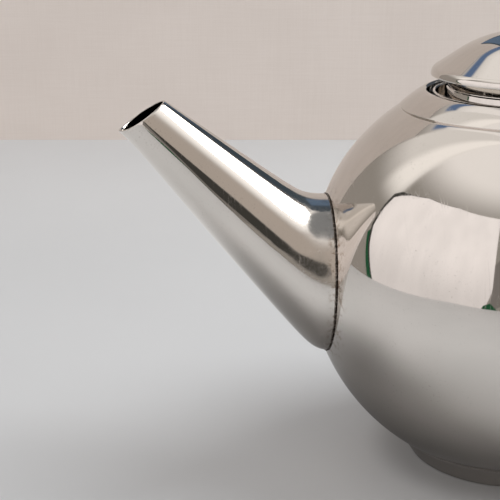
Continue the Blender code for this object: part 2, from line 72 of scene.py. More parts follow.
# Neck and gallery.
SEAM_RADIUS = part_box("neck_collar")[1].x
SEAM_EASE = 0.9 * MM
LIP_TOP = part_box("neck_collar")[1].z + 0.5 * MM
LIP_RADIUS = 33.6 * MM
LIP_ROLL = 1.0 * MM
COLLAR_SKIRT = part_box("neck_collar")[0].z
GALLERY_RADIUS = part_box("neck_gallery")[1].x
GALLERY_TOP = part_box("neck_gallery")[1].z
LEDGE_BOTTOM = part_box("neck_gallery")[0].z
LEDGE_BORE = 28.2 * MM

# Foot.
FOOT_SEAM_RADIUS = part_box("foot_ring")[1].x
FOOT_RADIUS = 34.2 * MM
FOOT_BORE = 31.0 * MM
FLOOR_RADIUS = 34.5 * MM
FLOOR_RISE = 1.4 * MM

# Spout.
ROOT_RADIUS = 28.9 * MM
ROOT_CENTRE = 73.1 * MM
ROOT_TOP_REACH = 69.2 * MM
ROOT_BOTTOM_REACH = 70.0 * MM
TOP_SLOPE = radians(35.7)
BOTTOM_SLOPE = radians(50.75)
TOP_KNEE = 77.3 * MM
BOTTOM_KNEE = 74.0 * MM
SIDE_KNEE = 73.0 * MM
TOP_KNEE_SOFTNESS = 2.8 * MM
BOTTOM_KNEE_SOFTNESS = 5.0 * MM
BOTTOM_BOW = 0.7 * MM
MOUTH_TOP = 127.3 * MM
MOUTH_BOTTOM = 142.7 * MM
MOUTH_HALF_WIDTH = 9.6 * MM
MOUTH_PINCH = 0.22
BEAK_LENGTH = 1.1 * MM
SPOUT_ROWS = 150
SPOUT_COLUMNS = 192
STRAINER_HOLE = 2.2 * MM
STRAINER_PITCH = 8.0 * MM

# Handle.
SOCKET_LENGTH = 12.0 * MM
SOCKET_RADIUS = 7.6 * MM
SOCKET_BORE = 6.4 * MM
SOCKET_FLANGE = 10.0 * MM
SPIGOT_RADIUS = 6.0 * MM
SPIGOT_LENGTH = 9.0 * MM
SOCKET_PIN = 1.3 * MM
PIN_FROM_BALL = 7.0 * MM
HANDLE_LIFT = 12.0 * MM
HANDLE_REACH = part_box("handle_grip")[1].x
GRIP_HALF_THICKNESS = 5.6 * MM
GRIP_HALF_WIDTH = 9.0 * MM
GRIP_END_RADIUS = 7.4 * MM
GRIP_ROWS = 180
GRIP_COLUMNS = 72

# Lid and knob.
LID_RADIUS = 32.6 * MM
LID_RIM_HEIGHT = 145.3 * MM
LID_RIM_ROUND = 3.4 * MM
LID_RIM_TUCK = radians(3.0)
LID_SHOULDER = radians(35.0)
LID_CAP_RADIUS = 40.0 * MM
FLANGE_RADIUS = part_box("lid_flange")[1].x
FLANGE_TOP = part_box("lid_flange")[1].z
FLANGE_SHOULDER = 140.4 * MM
SPIGOT_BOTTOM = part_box("lid_flange")[0].z
LID_SPIGOT_RADIUS = 25.2 * MM
VENT_RADIUS = 1.0 * MM
VENT_FROM_AXIS = 19.0 * MM
STUD_HOLE = 2.2 * MM
KNOB_RADIUS = 7.3 * MM
KNOB_NECK = 4.2 * MM
SCREW_RADIUS = 1.7 * MM
SCREW_HEAD_RADIUS = 3.8 * MM

# Infuser basket.
RIM_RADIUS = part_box("basket_rim")[1].x
RIM_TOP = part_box("basket_rim")[1].z
RIM_FLOOR = 131.3 * MM
BASKET_NECK_RADIUS = 26.4 * MM
BASKET_NECK_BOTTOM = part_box("basket_rim")[0].z
BASKET_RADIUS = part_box("basket_wall")[1].x
BASKET_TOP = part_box("basket_wall")[1].z
BASKET_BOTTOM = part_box("basket_floor")[0].z
BASKET_SHEET = 0.7 * MM


# ---------------------------------------------------------------- outlines


def arc(centre, radius, start, end, steps):
    """Points along an arc in the (radius, height) plane, angles in radians from +radius."""
    found = []
    for step in range(steps + 1):
        angle = start + (end - start) * step / steps
        found.append((centre[0] + radius * cos(angle), centre[1] + radius * sin(angle)))
    return found


def bezier(start, pull, end, steps):
    """Points along a quadratic Bezier curve in the (radius, height) plane."""
    found = []
    for step in range(steps + 1):
        t = step / steps
        found.append(
            tuple((1 - t) ** 2 * a + 2 * t * (1 - t) * b + t * t * c for a, b, c in zip(start, pull, end))
        )
    return found


def sheet(outline, wall):
    """The closed outline of a sheet: the open outer line, then the inner line back. The metal lies
    on the right-hand side of the outer line, and corners are mitred."""
    inner = []
    last = len(outline) - 1
    for i, (radius, height) in enumerate(outline):
        normals = []
        for a, b in ((i - 1, i), (i, i + 1)):
            if a < 0 or b > last:
                continue
            dr = outline[b][0] - outline[a][0]
            dz = outline[b][1] - outline[a][1]
            length = sqrt(dr * dr + dz * dz)
            normals.append((dz / length, -dr / length))
        nr = sum(n[0] for n in normals) / len(normals)
        nz = sum(n[1] for n in normals) / len(normals)
        stretch = wall / (nr * nr + nz * nz)
        if radius < 1e-9:
            inner.append((0.0, height + (wall if nz > 0 else -wall)))
        else:
            inner.append((radius + nr * stretch, height + nz * stretch))
    return list(outline) + inner[::-1]


def eased(outline, radius, steps=5):
    """The closed outline with every real corner off the axis rounded."""
    least_turn = radians(14.0)
    found = []
    for i, here in enumerate(outline):
        corner = Vector(here)
        back = Vector(outline[i - 1]) - corner
        ahead = Vector(outline[(i + 1) % len(outline)]) - corner
        if corner.x < 1e-9 or back.length < 1e-9 or ahead.length < 1e-9:
            found.append(here)
            continue
        between = back.angle(ahead)
        if pi - between < least_turn:
            found.append(here)
            continue
        run = min(radius / tan(between / 2.0), 0.42 * back.length, 0.42 * ahead.length)
        start = corner + back.normalized() * run
        end = corner + ahead.normalized() * run
        found.extend(bezier(start, corner, end, steps))
    return found


def held(outline, hold=0.2 * MM, longest=1.6 * MM):
    """The closed outline with points added along its straight runs, close to their ends and then
    evenly, so that smooth shading stays true next to a rounded edge."""
    found = []
    for i, here in enumerate(outline):
        a = Vector(here)
        b = Vector(outline[(i + 1) % len(outline)])
        found.append((a.x, a.y))
        length = (b - a).length
        if length < 4.0 * hold or (a.x < 1e-9 and b.x < 1e-9):
            continue
        parts = max(1, round((length - 2.0 * hold) / longest))
        for part in range(parts + 1):
            share = (hold + (length - 2.0 * hold) * part / parts) / length
            point = a.lerp(b, share)
            found.append((point.x, point.y))
    return found


def ball_height(radius, ball_radius=BALL_RADIUS, side=1):
    """Height at which the ball has this radius, above or below its middle."""
    return BALL_CENTRE + side * sqrt(ball_radius**2 - radius**2)


# ---------------------------------------------------------------- meshes


def finished(name, mesh, body, slot, look, *nodes):
    """Adds the mesh as a piece that rides on a body and stands for the CAD nodes."""
    obj = bpy.data.objects.new(name, mesh)
    bpy.context.scene.collection.objects.link(obj)
    mesh.materials.clear()
    mesh.materials.append(look)
    mesh.shade_smooth()
    mesh.set_sharp_from_angle(angle=radians(38.0))
    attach(obj, body)
    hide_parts(*nodes)
    return obj


def mesh_of(name, points, faces):
    """A mesh with coincident points joined and its faces turned outwards."""
    mesh = bpy.data.meshes.new(name)
    mesh.from_pydata(points, [], faces)
    work = bmesh.new()
    work.from_mesh(mesh)
    bmesh.ops.remove_doubles(work, verts=work.verts, dist=2e-7)
    bmesh.ops.dissolve_degenerate(work, edges=work.edges, dist=1e-7)
    bmesh.ops.recalc_face_normals(work, faces=work.faces)
    work.to_mesh(mesh)
    work.free()
    return mesh


def grid_faces(rows, columns, closed_rows=False):
    """Quads of a grid whose columns wrap round, and whose rows do too if asked."""
    faces = []
    for row in range(rows if closed_rows else rows - 1):
        here = row * columns
        beyond = (row + 1) % rows * columns
        for column in range(columns):
            after = (column + 1) % columns
            faces.append((here + column, here + after, beyond + after, beyond + column))
    return faces


def turned_mesh(name, outline, segments):
    """A solid of revolution about Z from a closed outline, or one that starts and ends on the axis."""
    points = []
    for radius, height in outline:
        for step in range(segments):
            angle = 2.0 * pi * step / segments
            points.append((radius * cos(angle), radius * sin(angle), height))
    rows = len(outline)
    faces = []
    for row in range(rows):
        below = (row + 1) % rows
        here_on_axis = outline[row][0] < 1e-9
        below_on_axis = outline[below][0] < 1e-9
        if here_on_axis and below_on_axis:
            continue
        for step in range(segments):
            after = (step + 1) % segments
            corners = [row * segments + step, row * segments + after]
            corners += [below * segments + after, below * segments + step]
            if here_on_axis:
                corners[0] = corners[1] = row * segments
                corners = corners[1:]
            elif below_on_axis:
                corners[2] = corners[3] = below * segments
                corners = corners[:3]
            faces.append(tuple(corners))
    return mesh_of(name, points, faces)


def tube_mesh(name, rings):
    """A closed solid through rings of equal length, capped at both ends."""
    columns = len(rings[0])
    points = [point for ring in rings for point in ring]
    faces = grid_faces(len(rings), columns)
    last = (len(rings) - 1) * columns
    faces.append(tuple(range(columns)))
    faces.append(tuple(last + column for column in range(columns)))
    return mesh_of(name, points, faces)


def rod_cutter(placed, radius, length, segments=32):
    """A helper object of round rods, each centred on its own matrix and lying along local Z."""
    work = bmesh.new()
    for matrix in placed:
        bmesh.ops.create_cone(
            work,
            cap_ends=True,
            segments=segments,
            radius1=radius,
            radius2=radius,
            depth=length,
            matrix=matrix,
        )
    mesh = bpy.data.meshes.new("cutter")
    work.to_mesh(mesh)
    work.free()
    obj = bpy.data.objects.new("cutter", mesh)
    bpy.context.scene.collection.objects.link(obj)
    return obj


def pierced(mesh, placed, radius, length, segments=32):
    """The mesh with round holes cut through it."""
    obj = bpy.data.objects.new("pierced", mesh)
    bpy.context.scene.collection.objects.link(obj)
    cutter = rod_cutter(placed, radius, length, segments)
    modifier = obj.modifiers.new("holes", "BOOLEAN")
    modifier.operation = "DIFFERENCE"
    modifier.solver = "EXACT"
    modifier.object = cutter
    graph = bpy.context.evaluated_depsgraph_get()
    made = bpy.data.meshes.new_from_object(obj.evaluated_get(graph))
    made.name = mesh.name
    bpy.data.objects.remove(obj)
    bpy.data.objects.remove(cutter)
    return made


# ---------------------------------------------------------------- body


def body_shell(look):
    """The spun ball: open at the neck, dished floor inside the foot, pierced behind the spout."""
    neck_radius = SEAM_RADIUS - 1.6 * MM
    floor_angle = -acos(FLOOR_RADIUS / BALL_RADIUS)
    ball = arc((0.0, BALL_CENTRE), BALL_RADIUS, floor_angle, acos((SEAM_RADIUS + SEAM_EASE) / BALL_RADIUS), 200)
    ball += bezier(
        ball[-1],
        (SEAM_RADIUS + 0.35 * MM, ball_height(SEAM_RADIUS + 0.35 * MM) - 0.02 * MM),
        (neck_radius, ball_height(neck_radius) - 0.75 * MM),
        12,
    )[1:]
    floor_height = ball_height(FLOOR_RADIUS, side=-1)
    floor = bezier(
        (0.0, floor_height + FLOOR_RISE),
        (20.0 * MM, floor_height + FLOOR_RISE),
        (31.0 * MM, floor_height - 0.15 * MM),
        24,
    )
    outline = eased(sheet((floor + ball)[::-1], SHELL_WALL), 0.25 * MM)
    mesh = turned_mesh("pot_ball", outline, FINE)
    holes = []
    for ring, count in ((0, 1), (1, 6), (2, 12)):
        for step in range(count):
            angle = 2.0 * pi * step / count
            reach = ring * STRAINER_PITCH
            where = (-BALL_RADIUS, reach * cos(angle), BALL_CENTRE + reach * sin(angle))
            holes.append(Matrix.Translation(where) @ Matrix.Rotation(pi / 2, 4, "Y"))
    mesh = pierced(mesh, holes, STRAINER_HOLE, 30.0 * MM)
    finished("pot_ball", mesh, "pot", "polished_steel", look, "body_shell")


def neck_collar(look):
    """The domed ring round the mouth: it rises from the seam, rolls over and turns down inside."""
    seam = (SEAM_RADIUS + 0.25 * MM, ball_height(SEAM_RADIUS) + 0.3 * MM)
    roll_centre = (LIP_RADIUS + LIP_ROLL, LIP_TOP - LIP_ROLL)
    crown = arc(roll_centre, LIP_ROLL, radians(70.0), pi, 14)
    rise = bezier(seam, (37.5 * MM, 138.9 * MM), crown[0], 48)
    tuck = (SEAM_RADIUS - 0.1 * MM, ball_height(SEAM_RADIUS) - 0.4 * MM)
    outline = [tuck] + rise + crown[1:] + [(LIP_RADIUS, COLLAR_SKIRT)]
    closed = held(eased(sheet(outline[::-1], SHEET_WALL), 0.3 * MM))
    mesh = turned_mesh("neck_dome_ring", closed, FINE)
    finished("neck_dome_ring", mesh, "pot", "polished_steel", look, "neck_collar")


def neck_gallery(look):
    """The stepped ring inside the collar, whose ledge the basket hangs from."""
    outline = [
        (GALLERY_RADIUS, GALLERY_TOP),
        (GALLERY_RADIUS, LEDGE_BOTTOM),
        (LEDGE_BORE, LEDGE_BOTTOM),
    ]
    closed = held(eased(sheet(outline, SHEET_WALL), 0.5 * MM))
    mesh = turned_mesh("neck_ledge_ring", closed, MEDIUM)
    finished("neck_ledge_ring", mesh, "pot", "satin_steel", look, "neck_gallery")


def foot_ring(look):
    """The tapered band the pot stands on, welded to the ball, with its lower edge turned in."""
    top = ball_height(FOOT_SEAM_RADIUS, side=-1)
    taper = (FOOT_SEAM_RADIUS - FOOT_RADIUS) / top
    inner_top = FOOT_SEAM_RADIUS - 1.7 * MM
    inner_top_height = ball_height(inner_top, side=-1) + SEAM_OVERLAP
    inner_foot = inner_top - taper * (inner_top_height - SHEET_WALL)
    flare = bezier(
        (FOOT_SEAM_RADIUS + 0.35 * MM, ball_height(FOOT_SEAM_RADIUS + 0.35 * MM, side=-1)),
        (FOOT_SEAM_RADIUS - 0.2 * MM, top - 0.35 * MM),
        (FOOT_SEAM_RADIUS - 1.1 * taper * MM - 0.05 * MM, top - 1.1 * MM),
        8,
    )
    outline = flare + [
        (FOOT_RADIUS, 0.0),
        (FOOT_BORE, 0.0),
        (FOOT_BORE, SHEET_WALL),
        (inner_foot, SHEET_WALL),
        (inner_top, inner_top_height),
    ]
    mesh = turned_mesh("foot_band", held(eased(outline, 0.55 * MM)), FINE)
    finished("foot_band", mesh, "pot", "polished_steel", look, "foot_ring")


# ---------------------------------------------------------------- spout


def soft_ramp(run, slope, softness):
    """Zero before the knee and a straight slope after it, with a rounded knee."""
    rise = slope * run
    return 0.5 * (rise + sqrt(rise * rise + softness * softness))


def spout_top(reach):
    """Height of the spout's top line, starting level with the root ring."""
    start = soft_ramp(ROOT_TOP_REACH - TOP_KNEE, tan(TOP_SLOPE), TOP_KNEE_SOFTNESS)
    rise = soft_ramp(reach - TOP_KNEE, tan(TOP_SLOPE), TOP_KNEE_SOFTNESS)
    return ROOT_CENTRE + ROOT_RADIUS + rise - start


def spout_bottom(reach):
    """Height of the spout's bottom line, which bows out a little between root and mouth."""
    start = soft_ramp(ROOT_BOTTOM_REACH - BOTTOM_KNEE, tan(BOTTOM_SLOPE), BOTTOM_KNEE_SOFTNESS)
    rise = soft_ramp(reach - BOTTOM_KNEE, tan(BOTTOM_SLOPE), BOTTOM_KNEE_SOFTNESS)
    share = (reach - ROOT_BOTTOM_REACH) / (MOUTH_BOTTOM - ROOT_BOTTOM_REACH)
    return ROOT_CENTRE - ROOT_RADIUS + rise - start - BOTTOM_BOW * sin(pi * share) ** 2


def spout_half_width(reach):
    """Half the spout's breadth at a distance from the pot's axis, measured at mid height."""
    mouth = 0.5 * (MOUTH_TOP + MOUTH_BOTTOM)
    slope = (ROOT_RADIUS - MOUTH_HALF_WIDTH) / (mouth - SIDE_KNEE)
    return ROOT_RADIUS - soft_ramp(reach - SIDE_KNEE, slope, 0.8 * MM)


def spout_ring(t, inset):
    """Points round the spout at a fraction of its length, moved in from the outer face."""
    top_reach = ROOT_TOP_REACH + t * (MOUTH_TOP - ROOT_TOP_REACH)
    bottom_reach = ROOT_BOTTOM_REACH + t * (MOUTH_BOTTOM - ROOT_BOTTOM_REACH)
    top = Vector((-top_reach, 0.0, spout_top(top_reach)))
    bottom = Vector((-bottom_reach, 0.0, spout_bottom(bottom_reach)))
    middle = (top + bottom) / 2.0
    upward = (top - bottom) / 2.0
    half_width = spout_half_width(-middle.x) - inset
    upward = upward * (1.0 - inset / upward.length)
    beak = max(0.0, (t - 0.9) / 0.1) ** 2 * BEAK_LENGTH
    found = []
    for column in range(SPOUT_COLUMNS):
        angle = 2.0 * pi * column / SPOUT_COLUMNS
        width = half_width * (1.0 - MOUTH_PINCH * t * t * max(0.0, cos(angle)))
        point = middle + upward * cos(angle) + Vector((0.0, width * sin(angle), 0.0))
        point.x -= beak * max(0.0, -cos(angle)) ** 8
        found.append(point)
    return found


def spout(look):
    """One sheet cone with a real wall, its mouth cut square and lightly dressed."""
    edge = 0.22 * MM
    length = (MOUTH_BOTTOM - ROOT_BOTTOM_REACH) * 1.2
    stations = []
    for row in range(SPOUT_ROWS + 1):
        stations.append(((row / SPOUT_ROWS) ** 1.25 * (1.0 - edge / length), 0.0))
    for step in range(1, 6):
        turn = pi / 2.0 * step / 5.0
        stations.append((1.0 - edge / length * (1.0 - sin(turn)), edge * (1.0 - cos(turn))))
    for step in range(0, 6):
        turn = pi / 2.0 * step / 5.0
        stations.append((1.0 - edge / length * (1.0 - cos(turn)), SHEET_WALL - edge * (1.0 - sin(turn))))
    inner_rows = SPOUT_ROWS // 2
    for row in range(1, inner_rows + 1):
        stations.append(((1.0 - edge / length) * (1.0 - row / inner_rows), SHEET_WALL))
    points = [point for t, inset in stations for point in spout_ring(t, inset)]
    mesh = mesh_of("spout_cone", points, grid_faces(len(stations), SPOUT_COLUMNS, True))
    finished("spout_cone", mesh, "pot", "polished_steel", look, "spout")


def spout_weld_bead(look):
    """The narrow hand-dressed weld between spout and ball, thicker and thinner as it goes round."""
    ring_radius = ROOT_RADIUS + 0.05 * MM
    columns = 480
    around = 14
    points = []
    for column in range(columns):
        angle = 2.0 * pi * column / columns
        place = Vector((cos(angle), sin(angle), 0.0))
        ripple = noise.noise(place * 26.0) + 0.6 * noise.noise(place * 75.0)
        size = (0.27 + 0.07 * ripple) * MM
        drift = 0.12 * MM * noise.noise(place * 11.0 + Vector((3.0, 5.0, 7.0)))
        height = ROOT_CENTRE - BALL_CENTRE + ring_radius * place.x
        seam = sqrt(BALL_RADIUS**2 - height**2 - (ring_radius * place.y) ** 2) + 0.30 * MM
        for step in range(around):
            turn = 2.0 * pi * step / around
            radius = ring_radius + size * cos(turn)
            along = -(seam + drift) + 0.9 * size * sin(turn)
            points.append((along, radius * sin(angle), ROOT_CENTRE + radius * cos(angle)))
    mesh = mesh_of("spout_weld", points, grid_faces(columns, around, True))
    finished("spout_weld", mesh, "pot", "weld_metal", look, "spout_weld_bead")


# ---------------------------------------------------------------- handle


def handle_layout():
    """Centre and radius of the handle's arc, and how far the socket mouths are from the ball's
    centre. The arc crosses the mouths square to the ball."""
    reach = HANDLE_REACH - GRIP_HALF_THICKNESS
    socket_mouth = BALL_RADIUS + SOCKET_LENGTH
    centre_x = (socket_mouth**2 + reach**2 - HANDLE_LIFT**2) / (2.0 * reach)
    return Vector((centre_x, 0.0, BALL_CENTRE + HANDLE_LIFT)), reach - centre_x, socket_mouth


def socket_angles():
    """Elevation of each socket's axis, seen from the ball's centre."""
    centre, radius, socket_mouth = handle_layout()
    to_centre = atan2(HANDLE_LIFT, centre.x)
    spread = atan2(radius, socket_mouth)
    return to_centre + spread, to_centre - spread


def along_radius(elevation):
    """A frame at the ball's centre whose Z axis points out at this elevation over +X."""
    turn = Matrix.Rotation(pi / 2.0 - elevation, 4, "Y")
    return Matrix.Translation((0.0, 0.0, BALL_CENTRE)) @ turn


def pin_place(elevation):
    """Where a socket's cross pin lies, along Y."""
    out = along_radius(elevation) @ Matrix.Translation((0.0, 0.0, BALL_RADIUS + PIN_FROM_BALL))
    return out @ Matrix.Rotation(pi / 2.0, 4, "X")


def handle_socket(side, elevation, look):
    """A short flared tube with a rolled mouth, welded square to the ball."""
    base = sqrt(BALL_RADIUS**2 - SOCKET_FLANGE**2) - SEAM_OVERLAP
    mouth = BALL_RADIUS + SOCKET_LENGTH
    flare = bezier(
        (SOCKET_FLANGE, base + 0.7 * MM),
        (SOCKET_RADIUS + 0.1 * MM, base + 0.9 * MM),
        (SOCKET_RADIUS, base + 3.6 * MM),
        16,
    )
    outline = [(SOCKET_BORE, sqrt(BALL_RADIUS**2 - SOCKET_BORE**2) - SEAM_OVERLAP), (SOCKET_FLANGE, base)]
    outline += flare + [(SOCKET_RADIUS, mouth), (SOCKET_BORE, mouth)]
    mesh = turned_mesh(side + "_socket", held(eased(outline, 0.4 * MM)), SMALL)
    mesh.transform(along_radius(elevation))
    mesh = pierced(mesh, [pin_place(elevation)], SOCKET_PIN + 0.05 * MM, 4.0 * SOCKET_RADIUS, 48)
    finished(side + "_socket", mesh, "pot", "polished_steel", look, side + "_handle_socket")


def handle_pin(side, elevation, look):
    """A cross pin with domed ends that fixes the grip in its socket."""
    half = SOCKET_RADIUS + 0.25 * MM
    dome = bezier((SOCKET_PIN, half - 0.1 * MM), (SOCKET_PIN, half + 0.3 * MM), (0.0, half + 0.3 * MM), 10)
    outline = [(r, -z) for r, z in dome[::-1]] + dome
    outline[0] = (0.0, outline[0][1])
    outline[-1] = (0.0, outline[-1][1])
    mesh = turned_mesh(side + "_cross_pin", outline, 48)
    mesh.transform(pin_place(elevation))
    finished(side + "_cross_pin", mesh, "pot", "satin_steel", look, side + "_handle_pin")


def smooth_step(value):
    value = min(1.0, max(0.0, value))
    return value * value * (3.0 - 2.0 * value)


def grip_ring(place, normal, thick, wide, line):
    """One section of the grip: an oval with a faint moulding line where the two halves met."""
    found = []
    for column in range(GRIP_COLUMNS):
        angle = 2.0 * pi * column / GRIP_COLUMNS
        flash = line * max(0.0, 1.0 - abs(abs(sin(angle)) - 1.0) * 700.0)
        sideways = Vector((0.0, (wide + flash) * sin(angle), 0.0))
        found.append(place + normal * (thick * cos(angle)) + sideways)
    return found


def handle_grip(look):
    """The black grip: an oval bar bent to an arc, with a shouldered round spigot at each end."""
    centre, radius, socket_mouth = handle_layout()
    upper, lower = socket_angles()
    start = pi / 2.0 + upper
    end = lower - pi / 2.0
    ball = Vector((0.0, 0.0, BALL_CENTRE))
    shoulder_round = 0.9 * MM
    rings = []

    def spigot(elevation, sign):
        outward = Vector((cos(elevation), 0.0, sin(elevation)))
        across = Vector((-sin(elevation), 0.0, cos(elevation))) * sign
        found = []
        for back, size in ((SPIGOT_LENGTH, SPIGOT_RADIUS - 0.6 * MM), (SPIGOT_LENGTH - 0.6 * MM, SPIGOT_RADIUS)):
            found.append((ball + outward * (socket_mouth - back), across, size))
        found.append((ball + outward * (socket_mouth + 0.05 * MM), across, SPIGOT_RADIUS))
        return found

    for place, across, size in spigot(upper, 1.0):
        rings.append(grip_ring(place, across, size, size, 0.0))
    for row in range(GRIP_ROWS + 1):
        share = row / GRIP_ROWS
        turn = start + (end - start) * share
        normal = Vector((cos(turn), 0.0, sin(turn)))
        from_end = min(share, 1.0 - share)
        full = smooth_step(from_end / 0.22)
        thick = GRIP_END_RADIUS + (GRIP_HALF_THICKNESS - GRIP_END_RADIUS) * full
        wide = GRIP_END_RADIUS + (GRIP_HALF_WIDTH - GRIP_END_RADIUS) * full
        run = from_end * abs(end - start) * radius
        ease = shoulder_round - sqrt(max(0.0, shoulder_round**2 - max(0.0, shoulder_round - run) ** 2))
        line = 0.12 * MM * smooth_step(run / (4.0 * MM))
        rings.append(grip_ring(centre + normal * radius, normal, thick - ease, wide - ease, line))
    for place, across, size in reversed(spigot(lower, -1.0)):
        rings.append(grip_ring(place, across, size, size, 0.0))
    mesh = tube_mesh("grip_bar", rings)
    finished("grip_bar", mesh, "pot", "black_phenolic", look, "handle_grip")


# ---------------------------------------------------------------- lid


def lid_outline():
    """The lid's outer face from the tucked rim up to the axis."""
    rim_centre = (LID_RADIUS - LID_RIM_ROUND, LID_RIM_HEIGHT)
    shoulder_normal = pi / 2.0 - LID_SHOULDER
    rim = arc(rim_centre, LID_RIM_ROUND, -LID_RIM_TUCK, shoulder_normal, 28)
    cap_edge = LID_CAP_RADIUS * sin(LID_SHOULDER)
    cap_edge_height = rim[-1][1] + (rim[-1][0] - cap_edge) * tan(LID_SHOULDER)
    cap_centre = (0.0, cap_edge_height - LID_CAP_RADIUS * cos(LID_SHOULDER))
    cap = arc(cap_centre, LID_CAP_RADIUS, shoulder_normal, pi / 2.0, 60)
    cap[-1] = (0.0, cap[-1][1])
    shoulder = []
    for step in range(1, 10):
        shoulder.append(tuple(Vector(rim[-1]).lerp(Vector(cap[0]), step / 10.0)))
    return rim + shoulder + cap


def lid_dome(look):
    """The spun lid, with a hole for the knob's screw and a small steam vent."""
    outline = eased(sheet(lid_outline()[::-1], SHELL_WALL), 0.38 * MM)
    mesh = turned_mesh("lid_cover", outline, FINE)
    over = lid_outline()[-1][1]
    mesh = pierced(mesh, [Matrix.Translation((0.0, 0.0, over))], STUD_HOLE, 10.0 * MM, 48)
    vent = Matrix.Translation((VENT_FROM_AXIS, 0.0, over - 4.0 * MM))
    mesh = pierced(mesh, [vent], VENT_RADIUS, 14.0 * MM, 40)
    finished("lid_cover", mesh, "lid", "polished_steel", look, "lid_dome")


def lid_flange(look):
    """The tube under the lid, flared into the dome and swelling a little below its shoulder. Its
    step rests on the basket's rim, and its spigot goes in."""
    step = RIM_FLOOR + SHEET_WALL + 0.3 * MM
    flared = bezier(
        (FLANGE_RADIUS + 0.6 * MM, FLANGE_TOP),
        (FLANGE_RADIUS - 0.9 * MM, FLANGE_TOP - 4.0 * MM),
        (FLANGE_RADIUS - 1.0 * MM, FLANGE_SHOULDER + 0.5 * MM),
        12,
    )
    outline = flared + [
        (FLANGE_RADIUS - 0.6 * MM, FLANGE_SHOULDER),
        (FLANGE_RADIUS + 0.15 * MM, FLANGE_SHOULDER - 3.8 * MM),
        (FLANGE_RADIUS + 0.15 * MM, step),
        (LID_SPIGOT_RADIUS, step),
        (LID_SPIGOT_RADIUS, SPIGOT_BOTTOM),
    ]
    closed = held(eased(sheet(outline, SHEET_WALL), 0.5 * MM))
    mesh = turned_mesh("lid_plug", closed, FINE)
    finished("lid_plug", mesh, "lid", "polished_steel", look, "lid_flange")


def knob_rosette(look):
    """The small moulded seat between the knob and the lid."""
    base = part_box("knob_rosette")[0].z - 0.25 * MM
    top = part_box("knob_rosette")[1].z
    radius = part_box("knob_rosette")[1].x
    outline = [
        (STUD_HOLE, base),
        (radius, base),
        (radius, base + 0.55 * MM),
        (radius - 0.7 * MM, base + 0.75 * MM),
        (radius - 1.0 * MM, top),
        (STUD_HOLE, top),
    ]
    mesh = turned_mesh("knob_seat", held(eased(outline, 0.25 * MM)), SMALL)
    finished("knob_seat", mesh, "lid", "polished_steel", look, "knob_rosette")


def lid_knob(look):
    """The black knob: a waisted neck under a round head, with a blind hole for the screw."""
    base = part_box("lid_knob")[0].z - 0.2 * MM
    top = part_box("lid_knob")[1].z
    neck_top = base + 4.0 * MM
    waist = bezier((KNOB_NECK, base), (KNOB_NECK - 1.1 * MM, base + 2.4 * MM), (KNOB_NECK + 0.1 * MM, neck_top), 14)
    half = (top - neck_top) / 2.0
    head = []
    for step in range(1, 49):
        angle = -pi / 2.0 + pi * step / 48.0
        radius = KNOB_RADIUS * max(0.0, cos(angle)) ** 0.8
        if radius > waist[-1][0] or angle > 0.0:
            head.append((radius, neck_top + half + half * sin(angle)))
    head[-1] = (0.0, top)
    bore_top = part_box("knob_screw")[1].z + 0.2 * MM
    bore = SCREW_RADIUS + 0.2 * MM
    outline = [(0.0, bore_top), (bore, bore_top), (bore, base)] + waist + head
    mesh = turned_mesh("knob_turning", eased(outline, 0.35 * MM), SMALL)
    finished("knob_turning", mesh, "lid", "black_phenolic", look, "lid_knob")


def knob_washer(look):
    """The washer under the lid."""
    low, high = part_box("knob_washer")
    outline = [(STUD_HOLE, low.z), (high.x, low.z), (high.x, high.z), (STUD_HOLE, high.z)]
    mesh = turned_mesh("screw_washer", held(eased(outline, 0.15 * MM)), SMALL)
    finished("screw_washer", mesh, "lid", "satin_steel", look, "knob_washer")


def knob_screw(look):
    """The slotted screw that comes up through washer, lid and rosette into the knob."""
    low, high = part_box("knob_screw")
    head_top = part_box("knob_washer")[0].z - 0.05 * MM
    pitch = 0.7 * MM
    dome = bezier((0.0, low.z), (SCREW_HEAD_RADIUS, low.z), (SCREW_HEAD_RADIUS, low.z + 1.5 * MM), 14)
    outline = dome + [(SCREW_HEAD_RADIUS, head_top), (SCREW_RADIUS, head_top)]
    thread = head_top + 1.0 * MM
    while thread < high.z - 1.2 * MM:
        outline += [(SCREW_RADIUS, thread), (SCREW_RADIUS - 0.25 * MM, thread + pitch / 2.0)]
        thread += pitch
    outline += [(SCREW_RADIUS, high.z - 0.6 * MM), (SCREW_RADIUS - 0.6 * MM, high.z), (0.0, high.z)]
    mesh = turned_mesh("knob_fixing_screw", eased(outline, 0.12 * MM), SMALL)
    slot = bmesh.new()
    bmesh.ops.create_cube(slot, size=1.0)
    bmesh.ops.scale(slot, vec=(0.9 * MM, 12.0 * MM, 2.0 * MM), verts=slot.verts)
    bmesh.ops.translate(slot, vec=(0.0, 0.0, low.z), verts=slot.verts)
    slot_mesh = bpy.data.meshes.new("slot")
    slot.to_mesh(slot_mesh)
    slot.free()
    mesh = without(mesh, slot_mesh)
    finished("knob_fixing_screw", mesh, "lid", "satin_steel", look, "knob_screw")


def without(mesh, taken):
    """One mesh with another cut away from it."""
    obj = bpy.data.objects.new("kept", mesh)
    cutter = bpy.data.objects.new("taken", taken)
    bpy.context.scene.collection.objects.link(obj)
    bpy.context.scene.collection.objects.link(cutter)
    modifier = obj.modifiers.new("cut", "BOOLEAN")
    modifier.operation = "DIFFERENCE"
    modifier.solver = "EXACT"
    modifier.object = cutter
    graph = bpy.context.evaluated_depsgraph_get()
    made = bpy.data.meshes.new_from_object(obj.evaluated_get(graph))
    made.name = mesh.name
    bpy.data.objects.remove(obj)
    bpy.data.objects.remove(cutter)
    return made


# ---------------------------------------------------------------- infuser basket


